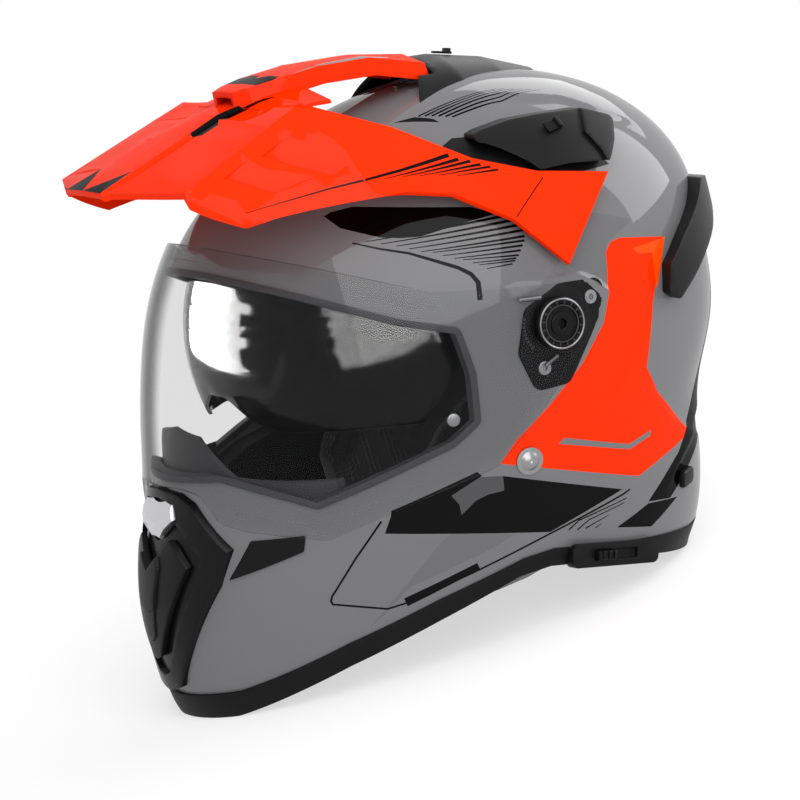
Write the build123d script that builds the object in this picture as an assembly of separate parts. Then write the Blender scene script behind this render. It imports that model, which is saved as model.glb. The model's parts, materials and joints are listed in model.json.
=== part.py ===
"""Dual sport helmet: shell, liners, visor, sun visor, peak, vents and strap, as separate solids.

Millimetres, +Z up, the face looks along -Y and the wearer's left is +X. Y = 0 lies on the axis that
the visor turns on and Z = 0 is the plane that the chin and the rear rim rest on.
"""
from build123d import *
from functools import lru_cache
from math import cos, pi, radians, sin
import os

# Overall size of the bare shell, and the place of the visor axis in it
SHELL_LENGTH = 362.0
SHELL_WIDTH = 248.0
SHELL_HEIGHT = 287.0
PIVOT_HEIGHT = 162.0

# Walls and running gaps
SHELL_WALL = 4.0
LINER_GAP = 0.3
SEAT_GAP = 0.2
RUN_GAP = 0.5
CUT_OVER = 20.0

# Rim trim and eye port rubber
TRIM_PROUD = 1.6
TRIM_DEPTH = 8.0
GASKET_WIDTH = 3.6
GASKET_PROUD = 1.4
GASKET_DEPTH = 5.0

# Impact and comfort liners
CAVITY_INSET = 38.0
CAVITY_END_INSET = 66.0
CAVITY_SHIFT = 18.5
COMFORT_WALL = 10.0
CHEEK_WALL = 26.0
CHIN_LINER_WALL = 20.0
CHIN_LINER_GAP = 2.0
NECK_ROLL_WALL = 26.0
CURTAIN_WALL = 2.0
CURTAIN_DEPTH = 38.0
CURTAIN_HEIGHT = 17.0

LINER_CORNER = 5.0

# Clear visor and its side mechanism
PORT_CORNER = 5.0
VISOR_CORNER = 5.0
PLATE_CORNER = 6.0
VISOR_GAP = 4.0
VISOR_WALL = 2.2
PLATE_PROUD = 2.0
PLATE_SUNK = 1.5
CAP_RADIUS = 14.0
CAP_WALL = 3.2
CAP_BOSS_RADIUS = 8.5
CAP_INNER_RADIUS = 6.3
CAP_SOCKET = 3.0
SCREW_RADIUS = 3.6
SCREW_LENGTH = 2.0
SCREW_SINK = 1.4
PIN_RADIUS = 3.5
PIN_HEAD = 1.6
VISOR_LIP = 1.1
VISOR_LIP_WIDTH = 3.2

# Sun visor, a barrel about a cross axis
SUN_AXIS_FORWARD = 40.0
SUN_AXIS_HEIGHT = 165.0
SUN_RADIUS = 105.0
SUN_HALF_WIDTH = 106.0
SUN_WALL = 2.0
SUN_TOP = 52.0
SUN_SWEEP = 97.0
SUN_TRAVEL = 32.0
SUN_MARGIN = 3.0
SUN_CLEAR = 1.6
SUN_PIN_RADIUS = 3.5
SUN_HUB_RADIUS = 9.0
SUN_HEAD_RADIUS = 6.0

# Peak
PEAK_WALL = 3.2
PEAK_CREASE_WALL = 2.2
PEAK_GROOVE = 2.2
PEAK_GROOVE_RUN = 1.6
BRIDGE_LEG = 10.0
BRIDGE_LEAN = 1.5
SCOOP_DEPTH = 1.9
SCOOP_OVER = 1.0
SCOOP_FLUSH = 0.05
HUMP_ROOT = 2.0
MOUNT_RADIUS = 6.0
MOUNT_REACH = 5.5

# Vents
TOP_VENT_WALL = 2.4
TOP_VENT_ROOM = 140.0
TOP_SLIDER_PLACE = 0.42
SLIDER_LENGTH = 10.0
SLIDER_WIDTH = 6.0
SLIDER_HEIGHT = 3.2
TOP_VENT_TRAVEL = 8.0
SIDE_VENT_PROUD = 6.0
SIDE_SLIDER_LIFT = 8.0
SIDE_VENT_WALL = 2.0
SIDE_VENT_TRAVEL = 6.0
SIDE_VENT_CORNER = 2.5
SIDE_VENT_STEP = 1.4
REAR_VENT_PROUD = 8.0
CHIN_VENT_PROUD = 4.0
CHIN_VENT_FLOOR = 1.2
SHUTTER_PROUD = 1.5
SHUTTER_GAP = 1.0
SHUTTER_TRAVEL = 4.0
LOUVRE_STEP = 0.8
INLET_PROUD = 1.4
BUTTON_PROUD = 6.0
BUTTON_TRAVEL = 2.5
BUTTON_RIDGE = 108.0
BUTTON_TOP_TILT = 37.0
BUTTON_FOOT_TILT = 4.0
DEFLECTOR_WALL = 2.5
DEFLECTOR_INSET = 5.6

# Sun visor lever and its housing on the left rim
HOUSING_LENGTH = 58.0
HOUSING_HEIGHT = 13.0
HOUSING_DEPTH = 9.0
HOUSING_OUT = 7.5
LEVER_LENGTH = 12.0
LEVER_WIDTH = 4.6
LEVER_PROUD = 3.5
LEVER_TRAVEL = 16.0
CHANNEL_DEPTH = 3.2

# Strap, rivets and studs
STRAP_WIDTH = 22.0
STRAP_WALL = 2.0
RIVET_RADIUS = 6.0
RIVET_RING = 1.6
RIVET_PROUD = 3.0
STUD_LENGTH = 13.0
STUD_WIDTH = 9.5
STUD_CORNER = 2.6
STUD_PROUD = 3.0
RING_RADIUS = 13.0
RING_WIRE = 2.2

SECTION_POINTS = 20

# How a cylinder or box stands on its plane
ON_PLANE = (Align.CENTER, Align.CENTER, Align.MIN)
TOP_AT_PLANE = (Align.CENTER, Align.CENTER, Align.MAX)

# One row a level: height of SHELL_HEIGHT, front, rear and widest place of SHELL_LENGTH from the visor
# axis, half width of half SHELL_WIDTH, then the fullness of the front and the rear curve.
HULL_SHARES = [
    (-0.020, 0.575, 0.260, 0.011, 0.730, 2.00, 2.30),
    (0.066, 0.591, 0.293, 0.014, 0.830, 2.00, 2.30),
    (0.167, 0.588, 0.312, 0.014, 0.895, 2.00, 2.30),
    (0.250, 0.575, 0.318, 0.019, 0.935, 2.00, 2.30),
    (0.335, 0.550, 0.350, 0.028, 0.968, 2.00, 2.25),
    (0.418, 0.522, 0.392, 0.036, 0.992, 2.00, 2.20),
    (0.505, 0.500, 0.414, 0.039, 1.000, 2.05, 2.15),
    (0.606, 0.472, 0.423, 0.041, 1.000, 2.10, 2.10),
    (0.707, 0.436, 0.420, 0.044, 0.968, 2.15, 2.10),
    (0.790, 0.395, 0.392, 0.047, 0.895, 2.15, 2.10),
    (0.875, 0.329, 0.331, 0.047, 0.750, 2.10, 2.10),
    (0.940, 0.227, 0.243, 0.041, 0.540, 2.05, 2.05),
    (0.976, 0.138, 0.160, 0.036, 0.355, 2.00, 2.00),
    (0.993, 0.070, 0.090, 0.022, 0.180, 2.00, 2.00),
]
# Middle of the shell's length, from the visor axis
HULL_MIDDLE_SHARE = -0.077

# Side view outlines: forward is negative, each point a share of SHELL_LENGTH and of SHELL_HEIGHT
PORT_SHARES = [
    (-0.649, 0.836), (-0.390, 0.805), (-0.318, 0.746), (-0.213, 0.659), (-0.138, 0.613),
    (-0.133, 0.523), (-0.144, 0.432), (-0.188, 0.404), (-0.271, 0.387), (-0.387, 0.362),
    (-0.436, 0.404), (-0.481, 0.443), (-0.649, 0.449),
]
TRIM_TOP_SHARES = [
    (-0.649, 0.049), (-0.536, 0.052), (-0.392, 0.098), (-0.257, 0.129), (-0.122, 0.150),
    (-0.072, 0.146), (0.097, 0.084), (0.199, 0.049), (0.276, 0.038), (0.483, 0.038),
]
TRIM_FOOT_SHARES = [
    (-0.649, 0.000), (-0.544, 0.000), (-0.395, 0.052), (-0.262, 0.087), (-0.133, 0.118),
    (-0.083, 0.115), (0.094, 0.049), (0.199, 0.000), (0.483, 0.000),
]
VISOR_SHARES = [
    (-0.401, 0.861), (-0.287, 0.780), (-0.169, 0.693), (-0.083, 0.662), (0.000, 0.638), (0.025, 0.631),
    (0.044, 0.613), (0.055, 0.589), (0.058, 0.564), (0.055, 0.540), (0.041, 0.516), (0.022, 0.498),
    (-0.083, 0.394), (-0.138, 0.348), (-0.246, 0.334), (-0.390, 0.307), (-0.475, 0.352),
    (-0.500, 0.373), (-0.506, 0.425), (-0.519, 0.439), (-0.649, 0.443), (-0.649, 0.871),
]
VISOR_LIP_SHARES = [
    (-0.663, 0.456), (-0.486, 0.456), (-0.414, 0.383), (-0.155, 0.383), (-0.155, 0.279),
    (-0.663, 0.279),
]
ABOVE_SHARES = [
    (0.483, 1.202), (-0.649, 1.202),
]
PLATE_SHARES = [
    (0.094, 0.613), (0.088, 0.564), (0.000, 0.446), (-0.055, 0.453), (-0.066, 0.530), (-0.039, 0.606),
    (0.022, 0.631),
]
EPS_SHARES = [
    (-0.649, 1.080), (-0.649, 0.815), (-0.345, 0.753), (-0.249, 0.676), (-0.171, 0.620),
    (-0.077, 0.578), (-0.077, 0.390), (-0.039, 0.376), (-0.039, 0.216), (0.483, 0.216), (0.483, 1.080),
]
COMFORT_SHARES = [
    (-0.331, 1.045), (-0.331, 0.746), (-0.235, 0.690), (-0.166, 0.634), (-0.077, 0.592),
    (-0.077, 0.523), (0.359, 0.523), (0.359, 1.045),
]
CHEEK_SHARES = [
    (-0.199, 0.195), (-0.204, 0.321), (-0.138, 0.411), (-0.055, 0.474), (0.066, 0.474), (0.122, 0.383),
    (0.127, 0.181), (0.028, 0.125), (-0.110, 0.132),
]
CHIN_LINER_SHARES = [
    (-0.649, 0.077), (-0.536, 0.084), (-0.392, 0.125), (-0.257, 0.157), (-0.127, 0.181),
    (-0.127, 0.355), (-0.171, 0.376), (-0.414, 0.376), (-0.448, 0.425), (-0.649, 0.432),
]
NECK_ROLL_SHARES = [
    (0.066, 0.209), (0.066, 0.105), (0.221, 0.014), (0.470, 0.014), (0.470, 0.209),
]
CURTAIN_SHARES = [
    (-0.649, 0.084), (-0.649, -0.035), (-0.365, -0.035), (-0.365, 0.084),
]
SIDE_VENT_SHARES = [
    (-0.022, 0.913), (0.019, 0.920), (0.066, 0.920), (0.110, 0.913), (0.185, 0.895), (0.227, 0.864),
    (0.202, 0.829), (0.174, 0.801), (0.108, 0.822), (0.061, 0.829), (0.052, 0.847), (0.025, 0.882),
    (0.008, 0.899),
]
SIDE_VENT_MOUTH_SHARES = [
    (-0.166, 0.909), (0.039, 0.909), (0.094, 0.892), (0.088, 0.836), (0.083, 0.784), (-0.166, 0.784),
]
SIDE_VENT_STEP_SHARES = [
    (0.182, 0.958), (0.262, 0.958), (0.262, 0.767), (0.169, 0.767), (0.169, 0.822), (0.160, 0.861),
    (0.182, 0.895),
]
REAR_VENT_SHARES = [
    (0.199, 0.533), (0.215, 0.582), (0.265, 0.620), (0.318, 0.652), (0.362, 0.686), (0.406, 0.669),
    (0.406, 0.627), (0.359, 0.589), (0.312, 0.564), (0.265, 0.537), (0.218, 0.512),
]
INLET_SHARES = [
    (-0.475, 0.331), (-0.412, 0.321), (-0.420, 0.293), (-0.514, 0.268),
]

SUN_EDGE_SHARES = [
    (-0.635, 0.512), (-0.403, 0.498), (-0.166, 0.443), (-0.028, 0.443), (-0.028, 0.209),
    (-0.635, 0.209),
]

# Places on the flank in side view
PIN_SHARES = (-0.182, 0.456)
SCREW_SHARES = [
    (0.066, 0.585), (-0.033, 0.491),
]
MOUNT_SHARES = (0.066, 0.756)
RIVET_SHARES = (-0.086, 0.331)
STUD_SHARES = (0.188, 0.160)
SIDE_SLIDER_SHARES = (0.122, 0.871)
HOUSING_FRONT_SHARES = (-0.055, 0.122)
HOUSING_REAR_SHARES = (0.094, 0.059)

# Sun visor's half profile: distance from the middle of SUN_HALF_WIDTH and radius of SUN_RADIUS
SUN_SHARES = [
    (0.00, 1.00), (0.28, 0.98), (0.52, 0.90), (0.71, 0.76), (0.83, 0.63), (0.92, 0.49), (0.97, 0.36),
    (1.00, 0.22), (1.00, 0.00),
]

# Front view outlines: x a share of half SHELL_WIDTH, z a share of SHELL_HEIGHT
CHIN_VENT_SHARES = [
    (0.000, 0.432), (0.161, 0.425), (0.242, 0.408), (0.427, 0.321), (0.379, 0.258), (0.105, 0.070),
    (0.000, 0.059),
]
CHIN_VENT_WELL_SHARES = [
    (0.000, 0.355), (0.161, 0.376), (0.210, 0.362), (0.323, 0.314), (0.290, 0.265), (0.056, 0.098),
    (0.000, 0.091),
]
SHUTTER_SHARES = [
    (0.000, 0.293), (0.145, 0.348), (0.194, 0.334), (0.266, 0.300), (0.040, 0.132), (0.000, 0.125),
]
UPPER_LOUVRE_SHARES = [
    (0.000, 0.293), (0.081, 0.321), (0.097, 0.300), (0.065, 0.226), (0.000, 0.216),
]
LOWER_LOUVRE_SHARES = [
    (0.000, 0.230), (0.065, 0.240), (0.040, 0.171), (0.000, 0.160),
]
BUTTON_ROOM_SHARES = [
    (0.000, 0.417), (0.141, 0.410), (0.167, 0.383), (0.035, 0.342), (0.000, 0.339),
]
NOSE_SHARES = [
    (0.000, 0.557), (0.081, 0.557), (0.129, 0.547), (0.347, 0.491), (0.371, 0.411), (0.000, 0.411),
]
BUTTON_SHARES = [
    (0.000, 0.415), (0.137, 0.408), (0.161, 0.383), (0.032, 0.345), (0.000, 0.341),
]
DEFLECTOR_SHARES = [
    (0.000, 0.530), (0.194, 0.516), (0.371, 0.439), (0.677, 0.401), (0.677, 0.341), (0.000, 0.341),
]

# Peak plate, from its front to the mouth of the side openings: station of SHELL_LENGTH, then the
# crown height, band half width and height, crease half width and height, low edge half width and
# height, widths of half SHELL_WIDTH and heights of SHELL_HEIGHT.
PEAK_SHARES = [
    (-0.514, 1.006, 0.198, 1.004, 0.730, 0.970, 0.790, 0.892),
    (-0.442, 1.026, 0.190, 1.025, 0.695, 0.995, 0.782, 0.899),
    (-0.343, 1.054, 0.149, 1.052, 0.644, 1.029, 0.790, 0.902),
    (-0.293, 1.068, 0.129, 1.066, 0.619, 1.046, 0.815, 0.897),
    (-0.240, 1.071, 0.117, 1.070, 0.590, 1.064, 0.843, 0.889),
    (-0.199, 1.075, 0.117, 1.073, 0.621, 1.044, 0.871, 0.882),
]
# Ramped scoops in the peak's flank: tip, top, tail and heel, each a station of SHELL_LENGTH and a
# share of the way from the crease to the low edge
SCOOP_SHARES = [
    [(-0.320, 0.220), (-0.276, 0.200), (-0.202, 0.600), (-0.237, 0.710)],
    [(-0.386, 0.190), (-0.345, 0.170), (-0.267, 0.680), (-0.325, 0.690)],
]
# Raised panel end beside the bridge, front to rear: station, then the near side, the top's edge and the
# foot of the outer slope, each as x of half SHELL_WIDTH and z of SHELL_HEIGHT
HUMP_SHARES = [
    (-0.251, 0.113, 1.063, 0.242, 1.063, 0.347, 1.062),
    (-0.210, 0.113, 1.075, 0.161, 1.074, 0.476, 1.057),
    (-0.166, 0.113, 1.073, 0.274, 1.070, 0.492, 1.049),
]
# Front edge of the peak in plan: x of half SHELL_WIDTH, y of SHELL_LENGTH
PEAK_PLAN_SHARES = [
    (0.000, -0.508), (0.202, -0.508), (0.222, -0.496), (0.699, -0.450), (0.782, -0.362),
    (1.089, -0.304), (1.089, -0.166), (0.000, -0.166),
]
# Bridge from its mouth on the plate to the top vent: station, crown height, half width and edge height
BRIDGE_SHARES = [
    (-0.257, 1.096, 0.105, 1.094), (-0.235, 1.098, 0.149, 1.096), (-0.199, 1.099, 0.185, 1.097),
    (-0.124, 1.098, 0.188, 1.095), (-0.041, 1.084, 0.198, 1.079), (0.044, 1.052, 0.194, 1.035),
]
# Side arms, front to tip: the upper and the lower edge point as x of half SHELL_WIDTH, y and z shares
ARM_SHARES = [
    (0.694, -0.116, 0.979, 0.887, -0.152, 0.875), (0.790, -0.022, 0.883, 0.927, -0.088, 0.847),
    (0.903, 0.055, 0.829, 0.992, -0.017, 0.770), (0.960, 0.157, 0.787, 1.065, 0.039, 0.662),
]

# Top vent cover: station, half width, top height and foot height
TOP_VENT_SHARES = [
    (-0.011, 0.371, 1.057, 0.962), (0.083, 0.339, 1.037, 0.958), (0.166, 0.274, 1.000, 0.927),
    (0.243, 0.161, 0.949, 0.906),
]
TOP_VENT_PLAN_SHARES = [
    (0.000, 0.048), (0.234, 0.048), (0.234, 0.022), (0.347, -0.006), (0.403, 0.028), (0.290, 0.182),
    (0.161, 0.235), (0.000, 0.243),
]

# Strap path from its rivet to its free end, in the plane of the rivet: x of half SHELL_WIDTH, z share
STRAP_SHARES = [
    (0.900, 0.348), (0.850, 0.237), (0.770, 0.153), (0.677, 0.094), (0.435, 0.052), (0.306, 0.052),
]


def superellipse(x_half, front, rear, widest, front_full, rear_full):
    """Closed outline of one level, as plan points from the front round by the wearer's left."""
    points = []
    for step in range(SECTION_POINTS):
        angle = 2 * pi * step / SECTION_POINTS
        ahead = cos(angle)
        aside = sin(angle)
        full = front_full if ahead > 0 else rear_full
        end = front if ahead > 0 else rear
        x = x_half * abs(aside) ** (2 / full) * (1 if aside > 0 else -1)
        y = widest + (end - widest) * abs(ahead) ** (2 / full)
        points.append((x, y))
    return points


@lru_cache(maxsize=None)
def hull(inset, end_inset=None, shift=0.0):
    """Solid of the helmet's outer form, drawn in by inset at the sides and crown, by end_inset at the
    front and the rear, and moved to the rear by shift."""
    end_inset = inset if end_inset is None else end_inset
    side_scale = 1 - inset / (SHELL_WIDTH / 2)
    end_scale = 1 - end_inset / (SHELL_LENGTH / 2)
    rise_scale = 1 - inset / SHELL_HEIGHT
    middle = HULL_MIDDLE_SHARE * SHELL_LENGTH
    faces = []
    for height, front, rear, widest, half, front_full, rear_full in HULL_SHARES:
        ends = [middle + shift + (share * SHELL_LENGTH - middle) * end_scale
                for share in (-front, rear, widest)]
        x_half = half * SHELL_WIDTH / 2 * side_scale
        z = height * SHELL_HEIGHT * rise_scale
        outline = superellipse(x_half, *ends, front_full, rear_full)
        curve = Spline(*[(x, y, z) for x, y in outline], periodic=True)
        faces.append(Face(Wire([curve])))
    return loft(faces)


def side_points(shares):
    """Side view points from shares of the shell's length and height."""
    return [(y * SHELL_LENGTH, z * SHELL_HEIGHT) for y, z in shares]


def side_prism(shares, corner=0.0, grow=0.0):
    """Side view outline run right through the helmet, its corners rounded and its border grown."""
    points = side_points(shares)
    if corner > 0:
        face = make_face(FilletPolyline(*points, radius=corner, close=True))
    else:
        face = make_face(Polyline(*points, close=True))
    if grow:
        face = offset(face, amount=grow, kind=Kind.INTERSECTION)
    return extrude(Plane.YZ * face, amount=SHELL_WIDTH, both=True)


def mirrored(points):
    """A half outline that starts and ends on the centre line, closed by its mirror image."""
    return points + [(-x, other) for x, other in reversed(points[1:-1])]


def front_prism(shares):
    """Front view outline of both halves, run forward from the visor axis."""
    points = [(x * SHELL_WIDTH / 2, z * SHELL_HEIGHT) for x, z in shares]
    return extrude(Plane.XZ * make_face(Polyline(*mirrored(points), close=True)), amount=SHELL_LENGTH)


def plan_prism(shares):
    """Plan outline of both halves, run up through the whole height."""
    points = [(x * SHELL_WIDTH / 2, y * SHELL_LENGTH) for x, y in shares]
    face = make_face(Polyline(*mirrored(points), close=True))
    return extrude(face, amount=2 * SHELL_HEIGHT)


def layer(outer, inner, region):
    """What lies inside the outer form and the region, and outside the inner form."""
    return (outer & region) - inner


def one_side(solid, side):
    """The half of a solid on the wearer's left (side 1) or right (side -1)."""
    half = Pos(side * SHELL_WIDTH, 0, SHELL_HEIGHT) * Box(2 * SHELL_WIDTH, 3 * SHELL_LENGTH, 4 * SHELL_HEIGHT)
    return solid & half


def level_row(height_share):
    """The hull's shares at any level, straight between the two rows beside it."""
    for low, high in zip(HULL_SHARES, HULL_SHARES[1:]):
        if height_share <= high[0]:
            break
    part = (height_share - low[0]) / (high[0] - low[0])
    return [a + (b - a) * part for a, b in zip(low, high)]


def hull_x(y, z):
    """Half width of the bare shell at a side view point."""
    _, front, rear, widest, half, front_full, rear_full = level_row(z / SHELL_HEIGHT)
    share = y / SHELL_LENGTH
    if share < widest:
        reach = (widest - share) / (widest + front)
        full = front_full
    else:
        reach = (share - widest) / (rear - widest)
        full = rear_full
    return half * SHELL_WIDTH / 2 * (1 - reach ** full) ** (1 / full)


def side_point(y_share, z_share, out=0.0, side=1):
    """Point on the shell's flank at a side view place, moved out along X."""
    y = y_share * SHELL_LENGTH
    z = z_share * SHELL_HEIGHT
    return Vector(side * (hull_x(y, z) + out), y, z)


def flank_plane(y_share, z_share, out=0.0, side=1, run=1.0):
    """Plane on the shell's flank: Z points out of the shell, X runs to the rear and up."""
    y = y_share * SHELL_LENGTH
    z = z_share * SHELL_HEIGHT
    x = hull_x(y, z)
    along = Vector(side * (hull_x(y + run, z) - x), run, 0)
    up = Vector(side * (hull_x(y, z + run) - x), 0, run)
    normal = (along.cross(up) * side).normalized()
    return Plane(Vector(side * x, y, z) + normal * out, x_dir=along, z_dir=normal)


def make_outer_shell():
    """Moulded shell: one wall with the eye port, the rim line and a shallow seat for each side plate."""
    above_rim = side_prism(TRIM_TOP_SHARES + ABOVE_SHARES)
    region = above_rim - side_prism(PORT_SHARES, PORT_CORNER)
    seat = side_prism(PLATE_SHARES, PLATE_CORNER) - hull(PLATE_SUNK)
    return layer(hull(0.0), hull(SHELL_WALL), region) - seat


def make_rim_trim():
    """Rubber trim that closes the shell's lower edge, flat under the chin and under the rear."""
    band = side_prism(TRIM_FOOT_SHARES + list(reversed(TRIM_TOP_SHARES)))
    return layer(hull(-TRIM_PROUD), hull(TRIM_DEPTH), band)


def make_gasket():
    """Rubber strip on the edge of the eye port."""
    ring = side_prism(PORT_SHARES, PORT_CORNER) - side_prism(PORT_SHARES, PORT_CORNER, -GASKET_WIDTH)
    return layer(hull(-GASKET_PROUD), hull(GASKET_DEPTH), ring)


def barrel(drop, start, sweep):
    """Sector of the sun visor's barrel form, drawn in by drop, from elevation start and down by sweep."""
    x_scale = 1 - drop / SUN_HALF_WIDTH
    r_scale = 1 - drop / SUN_RADIUS
    points = [(x * SUN_HALF_WIDTH * x_scale, r * SUN_RADIUS * r_scale) for x, r in SUN_SHARES]
    profile = make_face(Polyline((0, 0), *points, close=True))
    return sector(profile, start, sweep)


def sector(profile, start, sweep):
    """A half profile and its mirror image, turned about the sun visor's axis; 0 is straight ahead."""
    both = profile + mirror(profile, Plane.YZ)
    standing = Rot(90 - start, 0, 0) * (Plane.XZ * both)
    turned = revolve(standing, Axis.X, revolution_arc=sweep)
    return Pos(0, -SUN_AXIS_FORWARD, SUN_AXIS_HEIGHT) * turned


def make_sun_visor():
    """Dark inner visor: barrel wall with side ears, a nose notch and a rising lower edge."""
    lens = barrel(0.0, SUN_TOP, SUN_SWEEP) - barrel(SUN_WALL, SUN_TOP + 1, SUN_SWEEP + 2)
    lens -= side_prism(SUN_EDGE_SHARES) + front_prism(NOSE_SHARES)
    for side in (1, -1):
        place = sun_ear_plane(side)
        lens += place * Cylinder(SUN_HUB_RADIUS, SUN_WALL, align=TOP_AT_PLANE)
        lens -= place * Cylinder(SUN_PIN_RADIUS + RUN_GAP, SUN_WALL * 4)
    return lens


def sun_ear_plane(side):
    """Outer face of a sun visor ear on its axis, Z pointing away from the head."""
    centre = (side * SUN_HALF_WIDTH, -SUN_AXIS_FORWARD, SUN_AXIS_HEIGHT)
    return Plane(origin=centre, x_dir=(0, side, 0), z_dir=(side, 0, 0))


def make_sun_pins():
    """Stepped pins that carry the sun visor's ears from the shell's inner wall."""
    reach = SHELL_WIDTH / 2 - SUN_HALF_WIDTH
    wall = hull(SHELL_WALL + SEAT_GAP)
    pins = []
    for side in (1, -1):
        place = sun_ear_plane(side)
        shank = Pos(0, 0, -SUN_WALL - RUN_GAP) * Cylinder(SUN_PIN_RADIUS, reach, align=ON_PLANE)
        flange = Pos(0, 0, RUN_GAP) * Cylinder(SUN_HUB_RADIUS, reach, align=ON_PLANE)
        head = Pos(0, 0, -SUN_WALL - RUN_GAP) * Cylinder(SUN_HEAD_RADIUS, SUN_WALL, align=TOP_AT_PLANE)
        pins.append((place * (shank + flange + head)) & wall)
    return pins


def make_eps_liner():
    """Impact liner: fills the shell above the ears, hollow for the head, cut back for the sun visor."""
    block = hull(SHELL_WALL + LINER_GAP) & side_prism(EPS_SHARES)
    cavity = hull(CAVITY_INSET, CAVITY_END_INSET, CAVITY_SHIFT)
    reach = SHELL_WIDTH
    corner = make_face(Polyline((0, 0), (reach, 0), (reach, reach), (0, reach), close=True))
    swept = sector(corner, SUN_TOP + SUN_TRAVEL + SUN_MARGIN, SUN_SWEEP + SUN_TRAVEL + 2 * SUN_MARGIN)
    pocket = swept - barrel(SUN_WALL + SUN_CLEAR, SUN_TOP + SUN_TRAVEL + 2 * SUN_MARGIN,
                            SUN_SWEEP + SUN_TRAVEL + 4 * SUN_MARGIN)
    liner = block - cavity - pocket
    for side in (1, -1):
        hub_room = sun_ear_plane(side) * Pos(0, 0, -2 * SUN_WALL - SUN_CLEAR)
        liner -= hub_room * Cylinder(SUN_HUB_RADIUS + SUN_CLEAR, reach, align=ON_PLANE)
    return liner


def make_comfort_liner():
    """Padded crown lining inside the impact liner."""
    outer = hull(CAVITY_INSET + LINER_GAP, CAVITY_END_INSET + LINER_GAP, CAVITY_SHIFT)
    inner = hull(CAVITY_INSET + COMFORT_WALL, CAVITY_END_INSET + COMFORT_WALL, CAVITY_SHIFT)
    return layer(outer, inner, side_prism(COMFORT_SHARES, LINER_CORNER))


def make_cheek_pads():
    """Cheek cushions, left and right, following the side wall of the head space."""
    outer = hull(CAVITY_INSET + LINER_GAP, CAVITY_END_INSET + LINER_GAP, CAVITY_SHIFT)
    inner = hull(CAVITY_INSET + CHEEK_WALL, CAVITY_END_INSET, CAVITY_SHIFT)
    pads = layer(outer, inner, side_prism(CHEEK_SHARES, LINER_CORNER))
    return one_side(pads, 1), one_side(pads, -1)


def make_chin_liner():
    """Impact liner of the chin bar, below the eye port."""
    outer = hull(SHELL_WALL + LINER_GAP)
    inner = hull(SHELL_WALL + LINER_GAP + CHIN_LINER_WALL)
    port = side_prism(PORT_SHARES, PORT_CORNER, CHIN_LINER_GAP)
    return layer(outer, inner, side_prism(CHIN_LINER_SHARES) - port)


def make_neck_roll():
    """Padded roll round the back of the neck."""
    outer = hull(TRIM_DEPTH + LINER_GAP)
    inner = hull(TRIM_DEPTH + NECK_ROLL_WALL, TRIM_DEPTH + 2 * NECK_ROLL_WALL, NECK_ROLL_WALL / 2)
    return layer(outer, inner, side_prism(NECK_ROLL_SHARES, LINER_CORNER))


def make_chin_curtain():
    """Fabric flap that closes the gap under the chin."""
    outer = hull(TRIM_DEPTH + LINER_GAP)
    inner = hull(TRIM_DEPTH + CURTAIN_DEPTH)
    floor = Pos(0, 0, CURTAIN_HEIGHT) * Box(SHELL_WIDTH, 2 * SHELL_LENGTH, CURTAIN_WALL)
    return layer(outer, inner, side_prism(CURTAIN_SHARES) & floor)


def make_clear_visor():
    """Clear visor with a thick lower edge and a round hole in each ear for the pivot boss."""
    hole = Pos(0, 0, PIVOT_HEIGHT) * Rot(0, 90, 0) * Cylinder(CAP_BOSS_RADIUS + RUN_GAP, 2 * SHELL_WIDTH)
    outline = side_prism(VISOR_SHARES, VISOR_CORNER)
    lens = layer(hull(-VISOR_GAP - VISOR_WALL), hull(-VISOR_GAP), outline - hole)
    edge = outline - side_prism(VISOR_SHARES, VISOR_CORNER, -VISOR_LIP_WIDTH)
    lip = layer(hull(-VISOR_GAP - VISOR_WALL - VISOR_LIP), hull(-VISOR_GAP - VISOR_WALL / 2), edge)
    return lens + (lip & side_prism(VISOR_LIP_SHARES))


def make_pinlock_pins():
    """Two eccentric pins that would hold an anti-fog insert inside the clear visor."""
    pins = []
    for side in (1, -1):
        place = flank_plane(*PIN_SHARES, VISOR_GAP - PIN_HEAD, side)
        head = place * Cylinder(PIN_RADIUS, 2 * PIN_HEAD, align=ON_PLANE)
        pins.append(head & hull(-VISOR_GAP))
    return pins


def make_base_plate(side):
    """Three-cornered plate that carries the visor on one side of the shell."""
    region = one_side(side_prism(PLATE_SHARES, PLATE_CORNER, -SEAT_GAP), side)
    plate = layer(hull(-PLATE_PROUD), hull(PLATE_SUNK - SEAT_GAP), region)
    for y_share, z_share in SCREW_SHARES:
        place = flank_plane(y_share, z_share, PLATE_PROUD - SCREW_SINK, side)
        plate -= place * Cylinder(SCREW_RADIUS + SEAT_GAP, SCREW_LENGTH, align=ON_PLANE)
    return plate


def make_plate_screws():
    """Cap screws of both side plates, each with a hexagon socket."""
    screws = []
    for side in (1, -1):
        for y_share, z_share in SCREW_SHARES:
            place = flank_plane(y_share, z_share, PLATE_PROUD - SCREW_SINK, side)
            head = Cylinder(SCREW_RADIUS, SCREW_LENGTH, align=ON_PLANE)
            socket = extrude(RegularPolygon(SCREW_RADIUS * 0.5, 6), amount=SCREW_LENGTH)
            screws.append(place * (head - Pos(0, 0, SCREW_LENGTH / 2) * socket))
    return screws


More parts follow.
